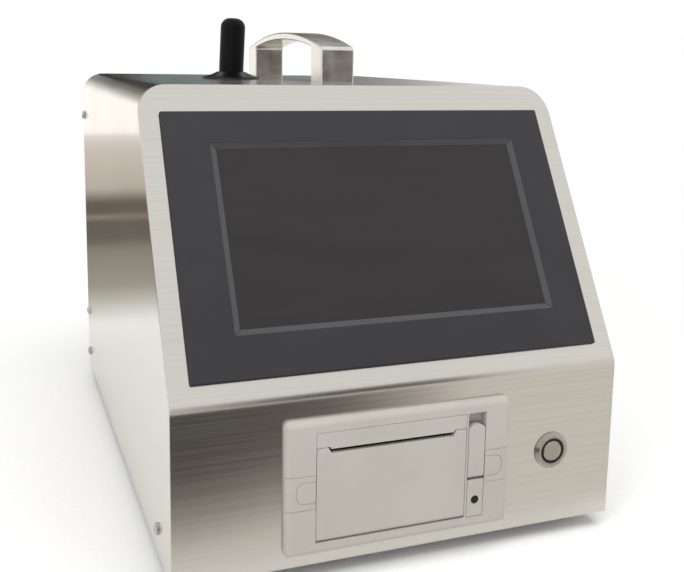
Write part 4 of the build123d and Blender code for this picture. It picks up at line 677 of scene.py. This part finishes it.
def port_shell():
    """The data connector with its moulded insulator; gives back where the insulator's face lies in Y."""
    piece = copied("data_port", "_dressed", FINISH[SLOT_OF["data_port"]])
    mesh = piece.data
    mesh.materials.append(FINISH["black_plastic"])
    cut_to_triangles(mesh)
    shade_by_flats(mesh)
    rim_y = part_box("data_port")[1][Y]
    middle_x, middle_z = middle_of("data_port", X), middle_of("data_port", Z)
    inside = [p for p in mesh.polygons
              if p.normal.y > INSULATOR_FACING and p.center.y < rim_y - SHELL_LEAST
              and abs(p.center.x - middle_x) < INSULATOR_W
              and abs(p.center.z - middle_z) < INSULATOR_H]
    face_y = max(p.center.y for p in inside)
    for polygon in inside:
        if polygon.center.y > face_y - INSULATOR_DIP:
            polygon.material_index = 1
    stand_for(piece, "data_port")
    return face_y


def port_pins(face_y):
    """Five contact pins over four, each a rod with a tapered tip."""
    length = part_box("data_port")[1][Y] - face_y - PIN_SHORT
    middle_x, middle_z = middle_of("data_port", X), middle_of("data_port", Z)
    work = bmesh.new()
    for row, count in ((PIN_ROW, 5), (-PIN_ROW, 4)):
        for i in range(count):
            x = middle_x + (i - (count - 1) / 2) * PIN_PITCH
            z = middle_z + row
            for start, depth, end_r in ((0.0, length, PIN_R), (length, PIN_TIP_L, PIN_TIP_R)):
                place = Matrix.Translation((x, face_y + start + depth / 2, z)) @ OUT_OF_REAR
                bmesh.ops.create_cone(work, cap_ends=True, segments=PIN_SIDES,
                                      radius1=PIN_R, radius2=end_r, depth=depth, matrix=place)
    pins = placed("data_port_pins", mesh_from(work, "data_port_pins"))
    pins.data.materials.append(BRASS)
    even_shading(pins)
    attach(pins, BODY_OF["data_port"])


port_pins(port_shell())


# ---- studio ----

def sheet_of(name, corners, material):
    """A flat stage card from its four corners."""
    mesh = bpy.data.meshes.new(name)
    mesh.from_pydata([Vector(c) for c in corners], [], [(0, 1, 2, 3)])
    mesh.materials.append(material)
    sheet = placed(name, mesh)
    return sheet


PAPER_FIBRE = 3 * MM
SHADOW_OUT, SHADOW_END = 0.3, 0.75       # metres out, between which the floor turns plain white


def floor_paint():
    """Matt white paper near the object, which carries its shadow, running out to plain white."""
    material, tree, out, place = new_material("studio_floor_white")
    fibre = stretched(tree, place, [1 / PAPER_FIBRE] * 3, Detail=2.0)
    tint = ramp(tree, fibre, [(0.3, "#F7F7F6"), (0.7, "#FAFAF9")])
    paper = put(tree, "BsdfDiffuse", {"Color": tint, "Roughness": 0.5}).outputs["BSDF"]
    white = put(tree, "Emission", {"Color": linear("#FFFFFF"), "Strength": 1.0}).outputs["Emission"]
    distance = put(tree, "VectorMath", {0: place}, operation="LENGTH").outputs["Value"]
    far = put(tree, "MapRange", {"Value": distance, "From Min": SHADOW_OUT, "From Max": SHADOW_END},
              interpolation_type="SMOOTHSTEP").outputs["Result"]
    share = put(tree, "Math", {0: far, 1: shown_rays(tree)}, operation="MULTIPLY").outputs[0]
    finish_surface(tree, out, put(tree, "MixShader", {0: share, 1: paper, 2: white}))
    return material


def shown_rays(tree):
    """1 for rays that show the studio itself, or its reflection, and 0 for those that light things."""
    rays = put(tree, "LightPath").outputs
    shown = rays["Is Camera Ray"]
    for kind in ("Is Glossy Ray", "Is Transmission Ray"):
        shown = put(tree, "Math", {0: shown, 1: rays[kind]}, operation="MAXIMUM").outputs[0]
    return shown


FLOOR = 30                # metres from the middle to each edge
sheet_of("studio_floor", [(a * FLOOR, b * FLOOR, 0) for a, b in ((-1, -1), (1, -1), (1, 1), (-1, 1))],
         floor_paint())


def card_paint(name, axis, stops, start, end, strength):
    """An evenly lit card with colour bands along one axis, between two places in metres."""
    material, tree, out, place = new_material(name)
    split = put(tree, "SeparateXYZ", {"Vector": place}).outputs[axis]
    band = put(tree, "MapRange", {"Value": split, "From Min": start, "From Max": end}).outputs["Result"]
    finish_surface(tree, out, put(tree, "Emission", {"Color": ramp(tree, band, stops), "Strength": strength}))
    return material


def only_reflected(sheet):
    """The card shows in metal and gloss only."""
    for way in ("camera", "diffuse", "shadow", "transmission", "volume_scatter"):
        setattr(sheet, "visible_" + way, False)


def card(name, axis, stops, start, end, corners, strength=1.0):
    """A card that shows in reflections only, with soft tones along one axis."""
    only_reflected(sheet_of(name, corners, card_paint(name + "_tones", axis, stops, start, end, strength)))


def upright(x0, x1, y, z0, z1):
    """The corners of an upright card."""
    return [(x0, y, z0), (x1, y, z0), (x1, y, z1), (x0, y, z1)]


def flat(x0, x1, y0, y1):
    """The corners of a card lying just over the floor."""
    return [(x0, y0, MM), (x1, y0, MM), (x1, y1, MM), (x0, y1, MM)]


# The tones of a room, which give the bare metal its light and dark bands: a bench behind on the
# left, a dark shelf over a grey wall behind, a dark room in front, and a window behind on the left.
card("bench_tones", "Y", [
    (0.0, "#FFFFFF"), (0.035, "#C6C3B9"), (0.06, "#A3A196"), (0.14, "#8F8B80"), (0.167, "#6E675E"),
    (0.228, "#6A6359"), (0.246, "#A0968C"), (0.259, "#655C54"), (0.307, "#6A6158"), (0.373, "#CBC0B6"),
    (0.71, "#DDD3CA"), (1.0, "#FFFFFF"),
], 0.28, 2.56, flat(-1.6, -0.02, 0.28, 2.56))
card("dark_shelf", "X", [(0.0, "#D9D7CF"), (0.36, "#B5B3AB"), (0.43, "#33342D"), (0.47, "#0A0B08"),
                         (0.62, "#181914"), (0.85, "#8F908E"), (1.0, "#FFFFFF")],
     -1.2, 1.2, upright(-1.2, 1.2, 1.7, 0.375, 1.3))
card("grey_wall", "X", [(0.0, "#11120D"), (0.09, "#30362F"), (0.15, "#87949D"), (0.3, "#97A1AA"),
                        (0.55, "#7C8387"), (0.8, "#C9CDD0"), (1.0, "#FFFFFF")],
     0.02, 1.25, upright(0.02, 1.25, 1.68, 0.1, 0.385))
card("dark_room", "X", [
    (0.0, "#E4DFD8"), (0.28, "#DED9D2"), (0.42, "#453E37"), (0.56, "#504840"), (0.63, "#EFEAE3"),
    (1.0, "#FBF9F6"),
], -0.5, 1.6, upright(-0.5, 1.6, -1.5, 0.0, 0.7))
card("left_window", "X", [(0.0, "#EFEBE6"), (1.0, "#F6F2ED")], -0.95, -0.2,
     upright(-0.95, -0.2, 1.69, 0.05, 0.33), strength=1.4)


PATCH_X, PATCH_Y = -0.13, -0.43       # metres
PATCH_SQUEEZE = (3.5, 4.3, 1.0)       # one over its reach along each axis


def front_floor_tones():
    """A soft dark patch on the floor in front of the object, fading to white."""
    material, tree, out, place = new_material("front_floor_tones")
    to_patch = {"Vector": place, "Location": (-PATCH_X, -PATCH_Y, 0.0)}
    centred = put(tree, "Mapping", to_patch).outputs["Vector"]
    squeezed = put(tree, "Mapping", {"Vector": centred, "Scale": PATCH_SQUEEZE}).outputs["Vector"]
    fade = put(tree, "TexGradient", {"Vector": squeezed}, gradient_type="SPHERICAL").outputs["Fac"]
    tones = ramp(tree, fade, [(0.0, "#EAE6DF"), (0.10, "#B4ADA5"), (0.32, "#3A3631"), (1.0, "#26231F")])
    finish_surface(tree, out, put(tree, "Emission", {"Color": tones, "Strength": 1.0}))
    return material


only_reflected(sheet_of("front_floor_card", flat(-0.7, 0.5, -0.9, -0.185), front_floor_tones()))


def softbox(name, place, aim, size, power):
    """A large soft lamp pointed at a place."""
    lamp = bpy.data.lights.new(name, "AREA")
    lamp.shape = "RECTANGLE"
    lamp.size, lamp.size_y = size
    lamp.energy = power
    holder = placed(name, lamp)
    holder.location = place
    holder.rotation_euler = (Vector(aim) - Vector(place)).to_track_quat("-Z", "Y").to_euler()
    holder.visible_glossy = False


# The main light comes from above and in front; the others open the shadows.
softbox("overhead_softbox", (0.0, -0.6, 1.7), (0.0, -0.1, 0.1), (1.8, 1.4), 18)
softbox("left_softbox", (-1.5, -0.9, 0.9), (0.0, 0.0, 0.12), (1.0, 1.2), 9)
softbox("right_fill", (1.7, -0.6, 0.8), (0.0, 0.0, 0.12), (1.0, 1.2), 5)
softbox("back_fill", (0.2, 1.9, 1.1), (0.0, 0.1, 0.12), (1.2, 1.0), 6)

world = bpy.data.worlds.new("studio_world")
bpy.context.scene.world = world
world.use_nodes = True
sky = world.node_tree
sky.nodes.clear()
SKY_LIGHT, SKY_SHOWN = 0.55, 1.0         # what falls on the object, and what is seen of it
brightness = put(sky, "MapRange", {"Value": shown_rays(sky), "To Min": SKY_LIGHT, "To Max": SKY_SHOWN})
dome = put(sky, "Background", {"Color": linear("#FFFFFF"), "Strength": brightness.outputs["Result"]})
put(sky, "OutputWorld", {"Surface": dome.outputs["Background"]})


# ---- camera ----

IMAGE_W, IMAGE_H = 684, 572
FOCAL_PX = 944.03         # focal length in pixels
CENTRE_Y = 210.86         # row that the lens looks at
CAMERA_AT = (-0.177173, -0.529353, 0.231981)
YAW, PITCH, ROLL = (math.radians(a) for a in (20.950, 9.188, 0.998))
ahead = Vector((math.sin(YAW) * math.cos(PITCH), math.cos(YAW) * math.cos(PITCH), -math.sin(PITCH)))
level = Vector((math.cos(YAW), -math.sin(YAW), 0.0))
upward = level.cross(ahead)
right = math.cos(ROLL) * level + math.sin(ROLL) * upward
top = -math.sin(ROLL) * level + math.cos(ROLL) * upward
lens = bpy.data.cameras.new("view_camera")
lens.sensor_fit = "HORIZONTAL"
lens.sensor_width = 36.0
lens.lens = FOCAL_PX * lens.sensor_width / IMAGE_W
lens.shift_y = (CENTRE_Y - IMAGE_H / 2) / IMAGE_W
lens.clip_start = 0.01
lens.clip_end = 100.0
camera = placed("view_camera", lens)
camera.matrix_world = Matrix.Translation(CAMERA_AT) @ Matrix((right, top, -ahead)).transposed().to_4x4()
bpy.context.scene.camera = camera
bpy.context.scene.view_settings.view_transform = "Standard"

bpy.context.view_layer.update()
